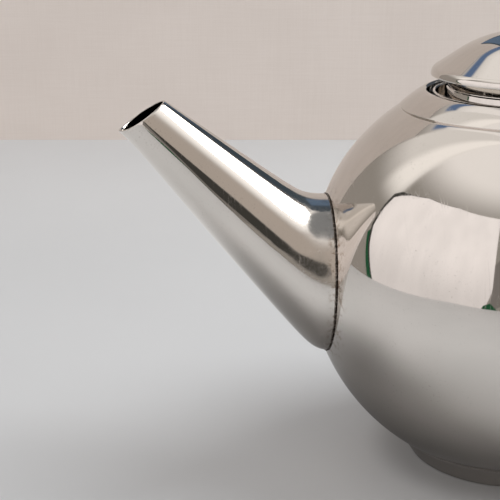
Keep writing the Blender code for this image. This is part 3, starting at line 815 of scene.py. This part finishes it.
def basket_rim(look):
    """The stepped rim with its edge rolled into a bead, which hangs on the ledge in the neck."""
    bead = 0.62 * MM
    bead_centre = (RIM_RADIUS - bead, RIM_TOP - bead)
    roll = arc(bead_centre, bead, radians(-130.0), radians(180.0), 24)[::-1]
    inner = RIM_RADIUS - 2.0 * bead
    outline = roll[::-1] + [
        (inner, RIM_FLOOR + SHEET_WALL),
        (BASKET_NECK_RADIUS - SHEET_WALL, RIM_FLOOR + SHEET_WALL),
        (BASKET_NECK_RADIUS - SHEET_WALL, BASKET_NECK_BOTTOM),
        (BASKET_NECK_RADIUS, BASKET_NECK_BOTTOM),
        (BASKET_NECK_RADIUS, RIM_FLOOR),
        (inner + SHEET_WALL, RIM_FLOOR),
    ]
    mesh = turned_mesh("basket_hanger", held(eased(outline, 0.45 * MM)), FINE)
    finished("basket_hanger", mesh, "infuser", "polished_steel", look, "basket_rim")


def perforated(name, place, rows, columns, is_hole, hole_radius, wall, wrap):
    """A sheet with many round holes. place(u, v, depth) gives the point at a cell coordinate, and
    is_hole(row, column) says which cells are pierced. It is built cell by cell, both skins and
    every hole's wall, so that it needs no Boolean."""
    points = []
    index = {}
    faces = []
    corners_round = 16

    def point(u, v, deep):
        if wrap:
            u = u % columns
        key = (round(u * 4096), round(v * 4096), deep)
        if key not in index:
            index[key] = len(points)
            points.append(place(u, v, wall if deep else 0.0))
        return index[key]

    for row in range(rows):
        for column in range(columns):
            square = [(column, row), (column + 1, row), (column + 1, row + 1), (column, row + 1)]
            for deep in (False, True):
                if not is_hole(row, column):
                    faces.append([point(u, v, deep) for u, v in square])
            if not is_hole(row, column):
                continue
            rim = []
            for step in range(corners_round):
                angle = -3.0 * pi / 4.0 + 2.0 * pi * step / corners_round
                rim.append((column + 0.5 + hole_radius * cos(angle), row + 0.5 + hole_radius * sin(angle)))
            quarter = corners_round // 4
            for side in range(4):
                here = square[side]
                after = square[(side + 1) % 4]
                run = [rim[(side * quarter + step) % corners_round] for step in range(quarter + 1)]
                for deep in (False, True):
                    faces.append([point(*here, deep), point(*after, deep)] + [point(*p, deep) for p in run[::-1]])
            for step in range(corners_round):
                a = rim[step]
                b = rim[(step + 1) % corners_round]
                faces.append([point(*a, False), point(*b, False), point(*b, True), point(*a, True)])
    for column in range(columns):
        for row in (0, rows):
            a = (column, row)
            b = (column + 1, row)
            faces.append([point(*a, False), point(*b, False), point(*b, True), point(*a, True)])
    return mesh_of(name, points, faces)


def basket_wall(look):
    """The pierced tube of the basket, with plain margins at both ends."""
    columns = 72
    cell = 2.0 * pi * BASKET_RADIUS / columns
    low = BASKET_BOTTOM + 0.1 * MM
    rows = round((BASKET_TOP - low) / cell)
    height = (BASKET_TOP - low) / rows

    def place(u, v, depth):
        angle = 2.0 * pi * u / columns
        radius = BASKET_RADIUS - depth
        return (radius * cos(angle), radius * sin(angle), low + v * height)

    def is_hole(row, column):
        return 2 <= row < rows - 4 and (row + column) % 2 == 0

    mesh = perforated("basket_tube", place, rows, columns, is_hole, 0.34, BASKET_SHEET, True)
    finished("basket_tube", mesh, "infuser", "satin_steel", look, "basket_wall")


def basket_floor(look):
    """The pierced dished disc that closes the basket, its edge turned up inside the wall."""
    edge = BASKET_RADIUS - BASKET_SHEET - 0.05 * MM
    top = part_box("basket_floor")[1].z
    outline = [(edge, top), (edge, BASKET_BOTTOM), (0.0, BASKET_BOTTOM)]
    closed = held(eased(sheet(outline, BASKET_SHEET), 1.0 * MM))
    mesh = turned_mesh("basket_base", closed, MEDIUM)
    holes = []
    for ring in range(0, 8):
        count = 6 * ring if ring else 1
        for step in range(count):
            angle = 2.0 * pi * (step + 0.5 * (ring % 2)) / count
            reach = ring * 3.2 * MM
            where = (reach * cos(angle), reach * sin(angle), BASKET_BOTTOM)
            holes.append(Matrix.Translation(where))
    mesh = pierced(mesh, holes, 0.8 * MM, 6.0 * MM, 16)
    finished("basket_base", mesh, "infuser", "satin_steel", look, "basket_floor")


# ---------------------------------------------------------------- materials


class Nodes:
    """A small helper that writes one node tree, of a material or of a world."""

    def __init__(self, name, owner=None):
        self.owner = owner or bpy.data.materials.new(name)
        self.owner.use_nodes = True
        self.tree = self.owner.node_tree
        self.tree.nodes.clear()
        self.output = self.tree.nodes.new("ShaderNodeOutput" + ("World" if owner else "Material"))

    def add(self, kind, **inputs):
        """A node of this kind. Inputs are values, or sockets to link; names use _ for a space."""
        node = self.tree.nodes.new("ShaderNode" + kind)
        for name, value in inputs.items():
            self.put(node, name.replace("_", " "), value)
        return node

    def put(self, node, name, value):
        socket = node.inputs[int(name) if name.isdigit() else name]
        if isinstance(value, bpy.types.NodeSocket):
            self.tree.links.new(value, socket)
        else:
            socket.default_value = value

    def math(self, operation, a, b=0.0, clamp=False):
        node = self.tree.nodes.new("ShaderNodeMath")
        node.operation = operation
        node.use_clamp = clamp
        self.put(node, "0", a)
        self.put(node, "1", b)
        return node.outputs[0]

    def place(self):
        """The point's own place, in millimetres."""
        coordinates = self.tree.nodes.new("ShaderNodeTexCoord")
        return self.scaled(coordinates.outputs["Object"], 1.0 / MM)

    def scaled(self, vector, factor):
        """A vector or colour times a number."""
        node = self.tree.nodes.new("ShaderNodeVectorMath")
        node.operation = "SCALE"
        self.put(node, "0", vector)
        self.put(node, "Scale", factor)
        return node.outputs[0]

    def ground_distance(self, place, x, y):
        """Distance in plan from a point, in millimetres."""
        parts = self.add("SeparateXYZ", Vector=place).outputs
        across = self.math("POWER", self.math("SUBTRACT", parts[0], x), 2.0)
        along = self.math("POWER", self.math("SUBTRACT", parts[1], y), 2.0)
        return self.math("SQRT", self.math("ADD", across, along))

    def mapped(self, vector, scale=(1.0, 1.0, 1.0), turn=(0.0, 0.0, 0.0)):
        return self.add("Mapping", Vector=vector, Scale=scale, Rotation=turn).outputs[0]

    def noise(self, vector, scale, detail=2.0, roughness=0.5):
        return self.add("TexNoise", Vector=vector, Scale=scale, Detail=detail, Roughness=roughness).outputs[0]

    def between(self, value, low, high, at_low=0.0, at_high=1.0):
        """The value's range low..high mapped smoothly to at_low..at_high."""
        node = self.add("MapRange", Value=value)
        node.interpolation_type = "SMOOTHSTEP"
        node.inputs["From Min"].default_value = low
        node.inputs["From Max"].default_value = high
        node.inputs["To Min"].default_value = at_low
        node.inputs["To Max"].default_value = at_high
        return node.outputs[0]

    def colours(self, share, first, second):
        node = self.tree.nodes.new("ShaderNodeMix")
        node.data_type = "RGBA"
        self.put(node, "0", share)
        for socket, colour in ((node.inputs[6], first), (node.inputs[7], second)):
            if isinstance(colour, bpy.types.NodeSocket):
                self.tree.links.new(colour, socket)
            else:
                socket.default_value = (*colour, 1.0)
        return node.outputs[2]

    def bump(self, height, depth, normal=None):
        """A normal from a height of 0 to 1 that stands for this many millimetres."""
        node = self.add("Bump", Height=height)
        node.inputs["Strength"].default_value = 1.0
        node.inputs["Distance"].default_value = depth * MM
        if normal is not None:
            self.tree.links.new(normal, node.inputs["Normal"])
        return node.outputs[0]

    def finish(self, shader):
        self.tree.links.new(shader.outputs[0], self.output.inputs["Surface"])
        return self.owner


def scratches(nodes, place, turn, across, along, sparse):
    """Thin, nearly straight lines in one direction: 1 on a scratch, 0 elsewhere."""
    bent = nodes.mapped(place, (across, along, along), turn)
    field = nodes.noise(bent, 1.0, 0.0)
    centred = nodes.math("ABSOLUTE", nodes.math("SUBTRACT", field, 0.5))
    line = nodes.between(centred, 0.004, 0.012, 1.0, 0.0)
    where = nodes.noise(nodes.mapped(place, (0.11, 0.07, 0.09), turn), 1.0, 1.0)
    return nodes.math("MULTIPLY", line, nodes.between(where, sparse, sparse + 0.06))


def polished_steel():
    """Mirror-polished stainless with faint waviness from the press, hairlines and a few pits."""
    nodes = Nodes("polished_steel")
    place = nodes.place()
    cloud = nodes.noise(place, 0.035, 3.0)
    smudge = nodes.noise(nodes.mapped(place, (0.10, 0.13, 0.09)), 1.0, 5.0, 0.62)
    haze = nodes.between(smudge, 0.52, 0.74)
    lines = scratches(nodes, place, (0.3, 0.5, 0.4), 0.55, 0.035, 0.52)
    more_lines = scratches(nodes, place, (1.1, 0.2, 1.9), 0.7, 0.05, 0.56)
    line = nodes.math("MAXIMUM", lines, more_lines)
    spots = nodes.add("TexVoronoi", Vector=place, Scale=0.16)
    pit_size = nodes.between(nodes.noise(place, 0.05, 0.0), 0.5, 0.75, 0.0, 0.03)
    pit = nodes.between(nodes.math("SUBTRACT", spots.outputs["Distance"], pit_size), 0.0, 0.02, 1.0, 0.0)
    reach = nodes.add("SeparateXYZ", Vector=place).outputs[0]
    near_weld = nodes.math("MULTIPLY", nodes.between(reach, -92.0, -76.0, 0.0, 1.0), nodes.between(reach, -69.5, -68.0, 1.0, 0.0))
    speckle = nodes.noise(place, 1.6, 4.0, 0.7)
    buffed = nodes.math("MULTIPLY", near_weld, nodes.between(speckle, 0.35, 0.65, 0.35, 1.0))
    roughness = nodes.between(cloud, 0.3, 0.7, 0.030, 0.048)
    roughness = nodes.math("ADD", roughness, nodes.math("MULTIPLY", buffed, 0.15))
    roughness = nodes.math("ADD", roughness, nodes.math("MULTIPLY", haze, 0.030))
    roughness = nodes.math("ADD", roughness, nodes.math("MULTIPLY", line, 0.10))
    roughness = nodes.math("ADD", roughness, nodes.math("MULTIPLY", pit, 0.25), True)
    worn = nodes.between(nodes.noise(place, 0.03, 3.0, 0.6), 0.42, 0.62)
    grain = nodes.math("ADD", nodes.noise(place, 1.3, 3.0, 0.65), nodes.between(reach, -75.0, -66.0, 0.035, 0.0))
    speck = nodes.math("MULTIPLY", worn, nodes.between(grain, 0.62, 0.72))
    roughness = nodes.math("ADD", roughness, nodes.math("MULTIPLY", speck, 0.10), True)
    colour = nodes.colours(nodes.between(cloud, 0.3, 0.7), (0.68, 0.64, 0.60), (0.65, 0.615, 0.575))
    colour = nodes.colours(nodes.math("MULTIPLY", pit, 0.8), colour, (0.12, 0.10, 0.09))
    colour = nodes.colours(nodes.math("MULTIPLY", speck, 0.45), colour, (0.40, 0.37, 0.34))
    beside_weld = nodes.between(nodes.math("ABSOLUTE", nodes.math("ADD", reach, 69.3)), 0.6, 3.4, 1.0, 0.0)
    stain = nodes.math("MULTIPLY", beside_weld, nodes.between(nodes.noise(place, 0.4, 4.0, 0.65), 0.48, 0.66, 0.0, 0.75))
    colour = nodes.colours(stain, colour, (0.30, 0.22, 0.16))
    wave = nodes.noise(place, 0.042, 2.0, 0.35)
    normal = nodes.bump(wave, 0.035)
    spout_only = nodes.between(reach, -120.0, -72.0, 0.0, 1.0)
    spout_only = nodes.math("MULTIPLY", spout_only, nodes.between(reach, -71.0, -69.5, 1.0, 0.0))
    dents = nodes.noise(nodes.mapped(place, (0.10, 0.14, 0.14)), 1.0, 2.0, 0.4)
    normal = nodes.bump(nodes.math("MULTIPLY", dents, spout_only), 0.10, normal)
    normal = nodes.bump(nodes.noise(place, 0.35, 2.0), 0.0007, normal)
    normal = nodes.bump(line, -0.0012, normal)
    normal = nodes.bump(pit, -0.02, normal)
    shader = nodes.add(
        "BsdfPrincipled", Base_Color=colour, Metallic=1.0, Roughness=roughness, Normal=normal
    )
    return nodes.finish(shader)


def satin_steel():
    """Plain stainless with fine turning marks round the pot's axis."""
    nodes = Nodes("satin_steel")
    place = nodes.place()
    parts = nodes.add("SeparateXYZ", Vector=place).outputs
    radius = nodes.math("SQRT", nodes.math("ADD", nodes.math("POWER", parts[0], 2.0), nodes.math("POWER", parts[1], 2.0)))
    angle = nodes.math("ARCTAN2", parts[1], parts[0])
    ring = nodes.add("CombineXYZ", X=nodes.math("MULTIPLY", radius, 3.2), Y=nodes.math("MULTIPLY", parts[2], 3.2), Z=nodes.math("MULTIPLY", angle, 1.4)).outputs[0]
    marks = nodes.noise(ring, 1.0, 3.0, 0.6)
    cloud = nodes.noise(place, 0.12, 3.0)
    roughness = nodes.math("ADD", nodes.between(cloud, 0.3, 0.7, 0.20, 0.30), nodes.math("MULTIPLY", marks, 0.08))
    colour = nodes.colours(nodes.between(cloud, 0.35, 0.65), (0.60, 0.58, 0.55), (0.53, 0.51, 0.48))
    colour = nodes.colours(nodes.math("MULTIPLY", marks, 0.25), colour, (0.42, 0.40, 0.38))
    normal = nodes.bump(marks, 0.006)
    shader = nodes.add(
        "BsdfPrincipled", Base_Color=colour, Metallic=1.0, Roughness=roughness, Normal=normal
    )
    return nodes.finish(shader)


def weld_metal():
    """Dark, finely lumpy weld with worn bright crests."""
    nodes = Nodes("weld_metal")
    place = nodes.place()
    lumps = nodes.noise(place, 1.1, 4.0, 0.6)
    crest = nodes.between(lumps, 0.50, 0.66)
    colour = nodes.colours(crest, (0.075, 0.062, 0.052), (0.34, 0.31, 0.28))
    roughness = nodes.between(lumps, 0.4, 0.7, 0.62, 0.25)
    normal = nodes.bump(lumps, 0.25)
    shader = nodes.add(
        "BsdfPrincipled", Base_Color=colour, Metallic=0.9, Roughness=roughness, Normal=normal
    )
    return nodes.finish(shader)


def black_phenolic():
    """Moulded black phenolic, buffed, with a faint flow pattern, specks and duller handled areas."""
    nodes = Nodes("black_phenolic")
    place = nodes.place()
    flow = nodes.noise(nodes.mapped(place, (0.05, 0.20, 0.07)), 1.0, 4.0, 0.6)
    speck = nodes.between(nodes.noise(place, 2.6, 2.0), 0.66, 0.74)
    worn = nodes.noise(place, 0.06, 4.0, 0.6)
    line = scratches(nodes, place, (0.4, 0.9, 0.2), 0.8, 0.06, 0.50)
    colour = nodes.colours(nodes.between(flow, 0.35, 0.7), (0.012, 0.011, 0.011), (0.021, 0.018, 0.016))
    colour = nodes.colours(nodes.math("MULTIPLY", speck, 0.35), colour, (0.060, 0.050, 0.042))
    roughness = nodes.between(worn, 0.35, 0.68, 0.22, 0.40)
    roughness = nodes.math("ADD", roughness, nodes.math("MULTIPLY", line, 0.15))
    normal = nodes.bump(nodes.noise(place, 0.5, 3.0), 0.012)
    normal = nodes.bump(line, -0.004, normal)
    shader = nodes.add(
        "BsdfPrincipled", Base_Color=colour, Metallic=0.0, Roughness=roughness, Normal=normal
    )
    return nodes.finish(shader)


def tabletop():
    """A pale grey matt table top. Painted shade is mixed into its colour: a painted shadow right round the foot,
    and, in reflections only, a wider painted shadow round the pot, deepest on the spout's side, with painted
    brightening further out.
    """
    nodes = Nodes("tabletop")
    place = nodes.place()
    cloud = nodes.noise(place, 0.006, 3.0)
    grain = nodes.noise(place, 1.4, 3.0, 0.7)
    colour = nodes.colours(nodes.between(cloud, 0.3, 0.7), (0.675, 0.70, 0.72), (0.695, 0.72, 0.74))
    colour = nodes.colours(nodes.math("MULTIPLY", grain, 0.05), colour, (0.5, 0.5, 0.5))
    mirrored = nodes.tree.nodes.new("ShaderNodeLightPath").outputs["Is Glossy Ray"]
    # Painted shadow right round the foot, for every ray but reflections.
    painted_contact_shadow = nodes.between(nodes.ground_distance(place, 0.0, 0.0), 36.0, 54.0, 0.6, 1.0)
    # Seen in reflections only: a wider painted shadow round the pot, deeper on the spout's side; deep holds that
    # painted shadow.
    painted_wide_shadow = nodes.between(nodes.ground_distance(place, 0.0, 0.0), 40.0, 95.0, 0.5, 1.0)
    shadow_side = nodes.between(nodes.ground_distance(place, -85.0, 25.0), 30.0, 130.0, 0.5, 1.0)
    deep = nodes.math("MULTIPLY", painted_wide_shadow, shadow_side)
    # Painted brightening of the table in reflections, further from the pot.
    painted_sheen = nodes.between(nodes.ground_distance(place, 0.0, 0.0), 90.0, 240.0, 1.0, 1.24)
    deep = nodes.math("MULTIPLY", deep, painted_sheen)
    # shade is the painted shadow, and in reflections the painted shadow and brightening, multiplying the table's
    # colour.
    shade = nodes.math("ADD", nodes.math("MULTIPLY", painted_contact_shadow, nodes.math("SUBTRACT", 1.0, mirrored)), nodes.math("MULTIPLY", deep, mirrored))
    colour = nodes.scaled(colour, shade)
    shader = nodes.add("BsdfPrincipled", Base_Color=colour, Roughness=0.6)
    return nodes.finish(shader)


def see_through_from_behind(nodes, shader):
    """The shader on the front of a face, and nothing at all seen from the back of it."""
    behind = nodes.tree.nodes.new("ShaderNodeNewGeometry").outputs["Backfacing"]
    clear = nodes.tree.nodes.new("ShaderNodeBsdfTransparent")
    mix = nodes.tree.nodes.new("ShaderNodeMixShader")
    nodes.put(mix, "0", behind)
    nodes.put(mix, "1", shader.outputs[0])
    nodes.put(mix, "2", clear.outputs[0])
    return mix


def linen():
    """The beige woven backdrop, seen from its front side only."""
    nodes = Nodes("linen")
    place = nodes.place()
    cloud = nodes.noise(place, 0.012, 3.0)
    warp = nodes.noise(nodes.mapped(place, (1.1, 0.03, 0.03)), 1.0, 2.0)
    weft = nodes.noise(nodes.mapped(place, (0.03, 0.03, 1.1)), 1.0, 2.0)
    weave = nodes.math("MULTIPLY", nodes.math("ADD", warp, weft), 0.5)
    colour = nodes.colours(nodes.between(cloud, 0.3, 0.7), (0.765, 0.70, 0.655), (0.795, 0.73, 0.685))
    colour = nodes.colours(nodes.between(weave, 0.3, 0.7, 0.0, 0.16), colour, (0.62, 0.545, 0.49))
    shader = nodes.add(
        "BsdfPrincipled", Base_Color=colour, Roughness=0.9, Emission_Color=colour, Emission_Strength=0.09
    )
    return nodes.finish(see_through_from_behind(nodes, shader))


def creased_card():
    """White card, dimmer towards its foot, with soft diagonal creases."""
    nodes = Nodes("creased_card")
    place = nodes.place()
    height = nodes.add("SeparateXYZ", Vector=place).outputs[2]
    crease = nodes.noise(nodes.mapped(place, (0.0030, 0.0030, 0.0008), (0.0, 0.25, 0.0)), 1.0, 2.0, 0.5)
    shine = nodes.between(height, 0.0, 1000.0, 0.80, 1.02)
    shine = nodes.math("MULTIPLY", shine, nodes.between(crease, 0.3, 0.7, 0.96, 1.03))
    shader = nodes.add("Emission", Color=(1.17, 1.11, 1.10, 1.0), Strength=shine)
    return nodes.finish(see_through_from_behind(nodes, shader))


def glow(name, colour, strength):
    """A plain card that shines from its front side only."""
    nodes = Nodes(name)
    shader = nodes.add("Emission", Strength=strength)
    shader.inputs["Color"].default_value = (*colour, 1.0)
    return nodes.finish(see_through_from_behind(nodes, shader))


# ---------------------------------------------------------------- studio
#
# Directions are degrees of azimuth and elevation. Azimuth 0 is -Y, the camera's side, and -90 is
# -X, the spout's side.

CAMERA_PLACE = Vector((-126.5, -417.5, 215.3)) * MM
CAMERA_PITCH = radians(17.66)
CAMERA_YAW = radians(-4.0)
CAMERA_LENS = 86.4
BACKDROP_DISTANCE = 978.0 * MM
TABLE_FRONT = 1200.0 * MM
BACKDROP_LEFT = -467.0 * MM
BACKDROP_RIGHT = 300.0 * MM
BACKDROP_TOP = 810.0 * MM
FLANK = Vector((-45.0, -55.0, 90.0)) * MM
CARD_REACH = 2300.0 * MM

CEILING = (1.08, 1.04, 1.01)
WALL = (0.36, 0.335, 0.305)
BACKGROUND = (0.60, 0.54, 0.50)
DIFFUSE_SHARE = 0.67

# Soft zones of the room round the pot: azimuth, half width, softness, elevation, half height,
# softness, colour.
ROOM = (
    (-122.0, 19.5, 1.5, 72.0, 38.0, 12.0, (0.90, 0.865, 0.83)),
    (-112.0, 8.5, 5.0, 72.0, 40.0, 8.0, (1.20, 1.155, 1.11)),
    (-124.0, 20.0, 3.0, 6.0, 16.0, 11.0, (0.36, 0.33, 0.30)),
    (26.0, 28.0, 14.0, 30.0, 24.0, 10.0, (0.55, 0.485, 0.43)),
    (88.0, 24.0, 20.0, 56.0, 22.0, 12.0, (1.50, 1.46, 1.42)),
    (100.0, 82.0, 12.0, 83.0, 22.0, 3.0, (0.27, 0.275, 0.28)),
    (120.0, 36.0, 12.0, 10.0, 22.0, 6.0, (0.09, 0.10, 0.12)),
    (180.0, 36.0, 2.0, 51.5, 3.0, 1.3, (0.14, 0.21, 0.36)),
)


def camera():
    data = bpy.data.cameras.new("camera")
    data.lens = CAMERA_LENS
    data.sensor_width = 36.0
    data.clip_start = 10.0 * MM
    obj = bpy.data.objects.new("camera", data)
    obj.location = CAMERA_PLACE
    obj.rotation_euler = (pi / 2.0 - CAMERA_PITCH, 0.0, CAMERA_YAW)
    bpy.context.scene.collection.objects.link(obj)
    bpy.context.scene.camera = obj


def stage_mesh(name, points, faces, look, seen=True):
    """A stage mesh. One that isn't seen shows only in reflections, and casts no shadow."""
    mesh = bpy.data.meshes.new(name)
    mesh.from_pydata(points, [], faces)
    mesh.materials.append(look)
    obj = bpy.data.objects.new(name, mesh)
    bpy.context.scene.collection.objects.link(obj)
    obj.visible_camera = seen
    obj.visible_shadow = seen
    return obj


def rectangle(left, front, right, back, height):
    return [(left, front, height), (right, front, height), (right, back, height), (left, back, height)]


def floor_and_backdrop():
    """The table goes on for ever as the camera sees it, and ends near the pot in reflections."""
    size = 4.0
    below = -0.1 * MM
    look = tabletop()
    stage_mesh("table", rectangle(-TABLE_FRONT, -TABLE_FRONT, size, size, below), [(0, 1, 2, 3)], look)
    for name, corners in (
        ("table_beyond_left", rectangle(-size, -TABLE_FRONT, -TABLE_FRONT, size, below)),
        ("table_beyond_front", rectangle(-size, -size, size, -TABLE_FRONT, below)),
    ):
        stage_mesh(name, corners, [(0, 1, 2, 3)], look).visible_glossy = False
    ahead = Vector((-sin(CAMERA_YAW), cos(CAMERA_YAW), 0.0))
    right = Vector((cos(CAMERA_YAW), sin(CAMERA_YAW), 0.0))
    foot = CAMERA_PLACE + ahead * BACKDROP_DISTANCE
    foot.z = 0.0
    up = Vector((0.0, 0.0, BACKDROP_TOP))
    left_foot = foot + right * BACKDROP_LEFT
    right_foot = foot + right * BACKDROP_RIGHT
    stage_mesh("backdrop", [left_foot, right_foot, right_foot + up, left_foot + up], [(0, 1, 2, 3)], linen())


def towards(azimuth, elevation):
    """The unit vector in this direction."""
    a = radians(azimuth)
    e = radians(elevation)
    return Vector((sin(a) * cos(e), -cos(a) * cos(e), sin(e)))


def card(name, outline, look, reach=CARD_REACH):
    """A curved reflector card that fills an outline of (azimuth, elevation) corners, as seen from
    the ball's flank. The corners run clockwise as seen from there."""
    sides = 8
    rings = 8
    corners = []
    for (a0, e0), (a1, e1) in zip(outline, outline[1:] + outline[:1]):
        corners += [(a0 + (a1 - a0) * step / sides, e0 + (e1 - e0) * step / sides) for step in range(sides)]
    count = len(corners)
    middle = (sum(a for a, _ in corners) / count, sum(e for _, e in corners) / count)
    points = [FLANK + towards(*middle) * reach]
    faces = [(0, 1 + i, 1 + (i + 1) % count) for i in range(count)]
    for ring in range(1, rings + 1):
        for azimuth, elevation in corners:
            share = ring / rings
            turned_to = (middle[0] + (azimuth - middle[0]) * share, middle[1] + (elevation - middle[1]) * share)
            points.append(FLANK + towards(*turned_to) * reach)
        if ring > 1:
            inner = 1 + (ring - 2) * count
            for i in range(count):
                after = (i + 1) % count
                faces.append((inner + i, inner + count + i, inner + count + after, inner + after))
    return stage_mesh(name, points, faces, look, seen=False)


def cards():
    """What stands on the camera's side of the table: a large white card, the dark green stand it
    leans on, and the dark of the camera."""
    white = creased_card()
    green = glow("stand_green", (0.02, 0.10, 0.045), 1.0)
    dark = glow("camera_dark", (0.060, 0.058, 0.052), 1.0)
    dim = glow("room_dim", (0.24, 0.22, 0.205), 1.0)
    blue = glow("board_blue", (0.13, 0.19, 0.28), 1.0)
    shade = glow("board_shade", (0.060, 0.080, 0.100), 1.0)
    card(
        "white_card",
        [(-94, -6), (-103, 9), (-106, 16), (-106, 25), (-105, 31), (-101.5, 34), (-95, 37.8), (-82, 42.3)]
        + [(-57, 45.4), (-24.3, 45), (-24.3, 6), (-28, -4.2), (-60, -5)],
        white,
    )
    card(
        "card_edge",
        [(-94, -7), (-104.5, 9), (-107.5, 16), (-107.5, 26), (-106.8, 32), (-103, 35.5), (-95, 38.2), (-82, 42.5)]
        + [(-57, 45.5), (-27, 45), (-27, 6), (-29, -5), (-60, -5.7)],
        dark,
        CARD_REACH + 8.0 * MM,
    )
    card("green_stand", [(-97, -8), (-108, 12), (-105, 16), (-93, -5)], green, CARD_REACH + 16.0 * MM)
    card("green_foot", [(-30, -4.8), (-28.5, -2.0), (-25, -0.5), (-20, -5.2)], green, CARD_REACH - 14.0 * MM)
    card(
        "front_dim",
        [(-26, -6), (-24.3, 8), (-24.3, 20), (-20, 25), (-2, 28), (5, 27), (8, 13), (3, 9), (-8, 6), (-14, 3), (-20, -2)],
        dim,
        CARD_REACH - 8.0 * MM,
    )
    card(
        "camera_front",
        [(-14, 7), (-10, 17), (-5, 27), (2, 29), (4, 22), (-1, 13), (-7, 8), (-11, 5.5)],
        dark,
        CARD_REACH - 16.0 * MM,
    )
    card("blue_board", [(160, 26), (157, 45), (176, 47), (178, 31)], blue, 540.0 * MM)
    board = [(147, 10), (145, 32), (150, 54), (162, 60), (177, 54), (179, 32), (168, 26), (157, 12)]
    card("board_shade", board, shade, 550.0 * MM)


def softbox():
    """The face of the key light, which shows in reflections. Its light comes from the lamp."""
    face = glow("softbox_face", (1.0, 1.0, 1.0), 7.0)
    outline = [(85, 44), (86, 58), (104, 60), (128, 58), (136, 44), (136, 34), (124, 33), (100, 39)]
    card("softbox", outline, face, 1.3).visible_diffuse = False
    lamp = area_light("key", 108.0, 54.0, 1.3, (1.0, 0.8), 3.8, (1.0, 1.0, 1.0))
    lamp.visible_glossy = False


def area_light(name, azimuth, elevation, reach, size, radiance, colour):
    """A soft rectangular light that shines at the pot from this direction."""
    data = bpy.data.lights.new(name, "AREA")
    data.shape = "RECTANGLE"
    data.size = size[0]
    data.size_y = size[1]
    data.energy = radiance * pi * size[0] * size[1]
    data.color = colour
    obj = bpy.data.objects.new(name, data)
    away = towards(azimuth, elevation)
    obj.location = FLANK + away * reach
    obj.rotation_euler = away.to_track_quat("Z", "Y").to_euler()
    bpy.context.scene.collection.objects.link(obj)
    return obj


def world():
    """The room in soft zones, seen in reflections and as light. The camera sees a plain colour."""
    made = bpy.data.worlds.new("studio")
    nodes = Nodes("studio", made)
    direction = nodes.tree.nodes.new("ShaderNodeTexCoord").outputs["Generated"]
    parts = nodes.add("SeparateXYZ", Vector=direction).outputs
    degree = 180.0 / pi
    azimuth = nodes.math("MULTIPLY", nodes.math("ARCTAN2", parts[0], nodes.math("MULTIPLY", parts[1], -1.0)), degree)
    elevation = nodes.math("MULTIPLY", nodes.math("ARCSINE", parts[2]), degree)
    colour = nodes.colours(nodes.between(elevation, 38.0, 64.0), WALL, CEILING)
    for across, half_width, soft, up, half_height, soft_up, tint in ROOM:
        turned_by = nodes.math("SUBTRACT", azimuth, across - 540.0)
        off = nodes.math("ABSOLUTE", nodes.math("SUBTRACT", nodes.math("FLOORED_MODULO", turned_by, 360.0), 180.0))
        off_up = nodes.math("ABSOLUTE", nodes.math("SUBTRACT", elevation, up))
        inside = nodes.between(off, half_width - soft, half_width + soft, 1.0, 0.0)
        inside_up = nodes.between(off_up, half_height - soft_up, half_height + soft_up, 1.0, 0.0)
        colour = nodes.colours(nodes.math("MULTIPLY", inside, inside_up), colour, tint)
    path = nodes.tree.nodes.new("ShaderNodeLightPath").outputs
    colour = nodes.colours(path["Is Camera Ray"], colour, BACKGROUND)
    strength = nodes.math("SUBTRACT", 1.0, nodes.math("MULTIPLY", path["Is Diffuse Ray"], 1.0 - DIFFUSE_SHARE))
    nodes.finish(nodes.add("Background", Color=colour, Strength=strength))
    bpy.context.scene.world = made


def studio():
    world()
    floor_and_backdrop()
    cards()
    softbox()
    bpy.context.scene.view_settings.view_transform = "Standard"


# ---------------------------------------------------------------- the whole scene


def pot():
    steel = polished_steel()
    satin = satin_steel()
    weld = weld_metal()
    black = black_phenolic()
    body_shell(steel)
    neck_collar(steel)
    neck_gallery(satin)
    foot_ring(steel)
    spout(steel)
    spout_weld_bead(weld)
    upper, lower = socket_angles()
    for side, elevation in (("upper", upper), ("lower", lower)):
        handle_socket(side, elevation, steel)
        handle_pin(side, elevation, satin)
    handle_grip(black)
    lid_dome(steel)
    lid_flange(steel)
    knob_rosette(steel)
    lid_knob(black)
    knob_washer(satin)
    knob_screw(satin)
    basket_rim(steel)
    basket_wall(satin)
    basket_floor(satin)


pot()
studio()
camera()
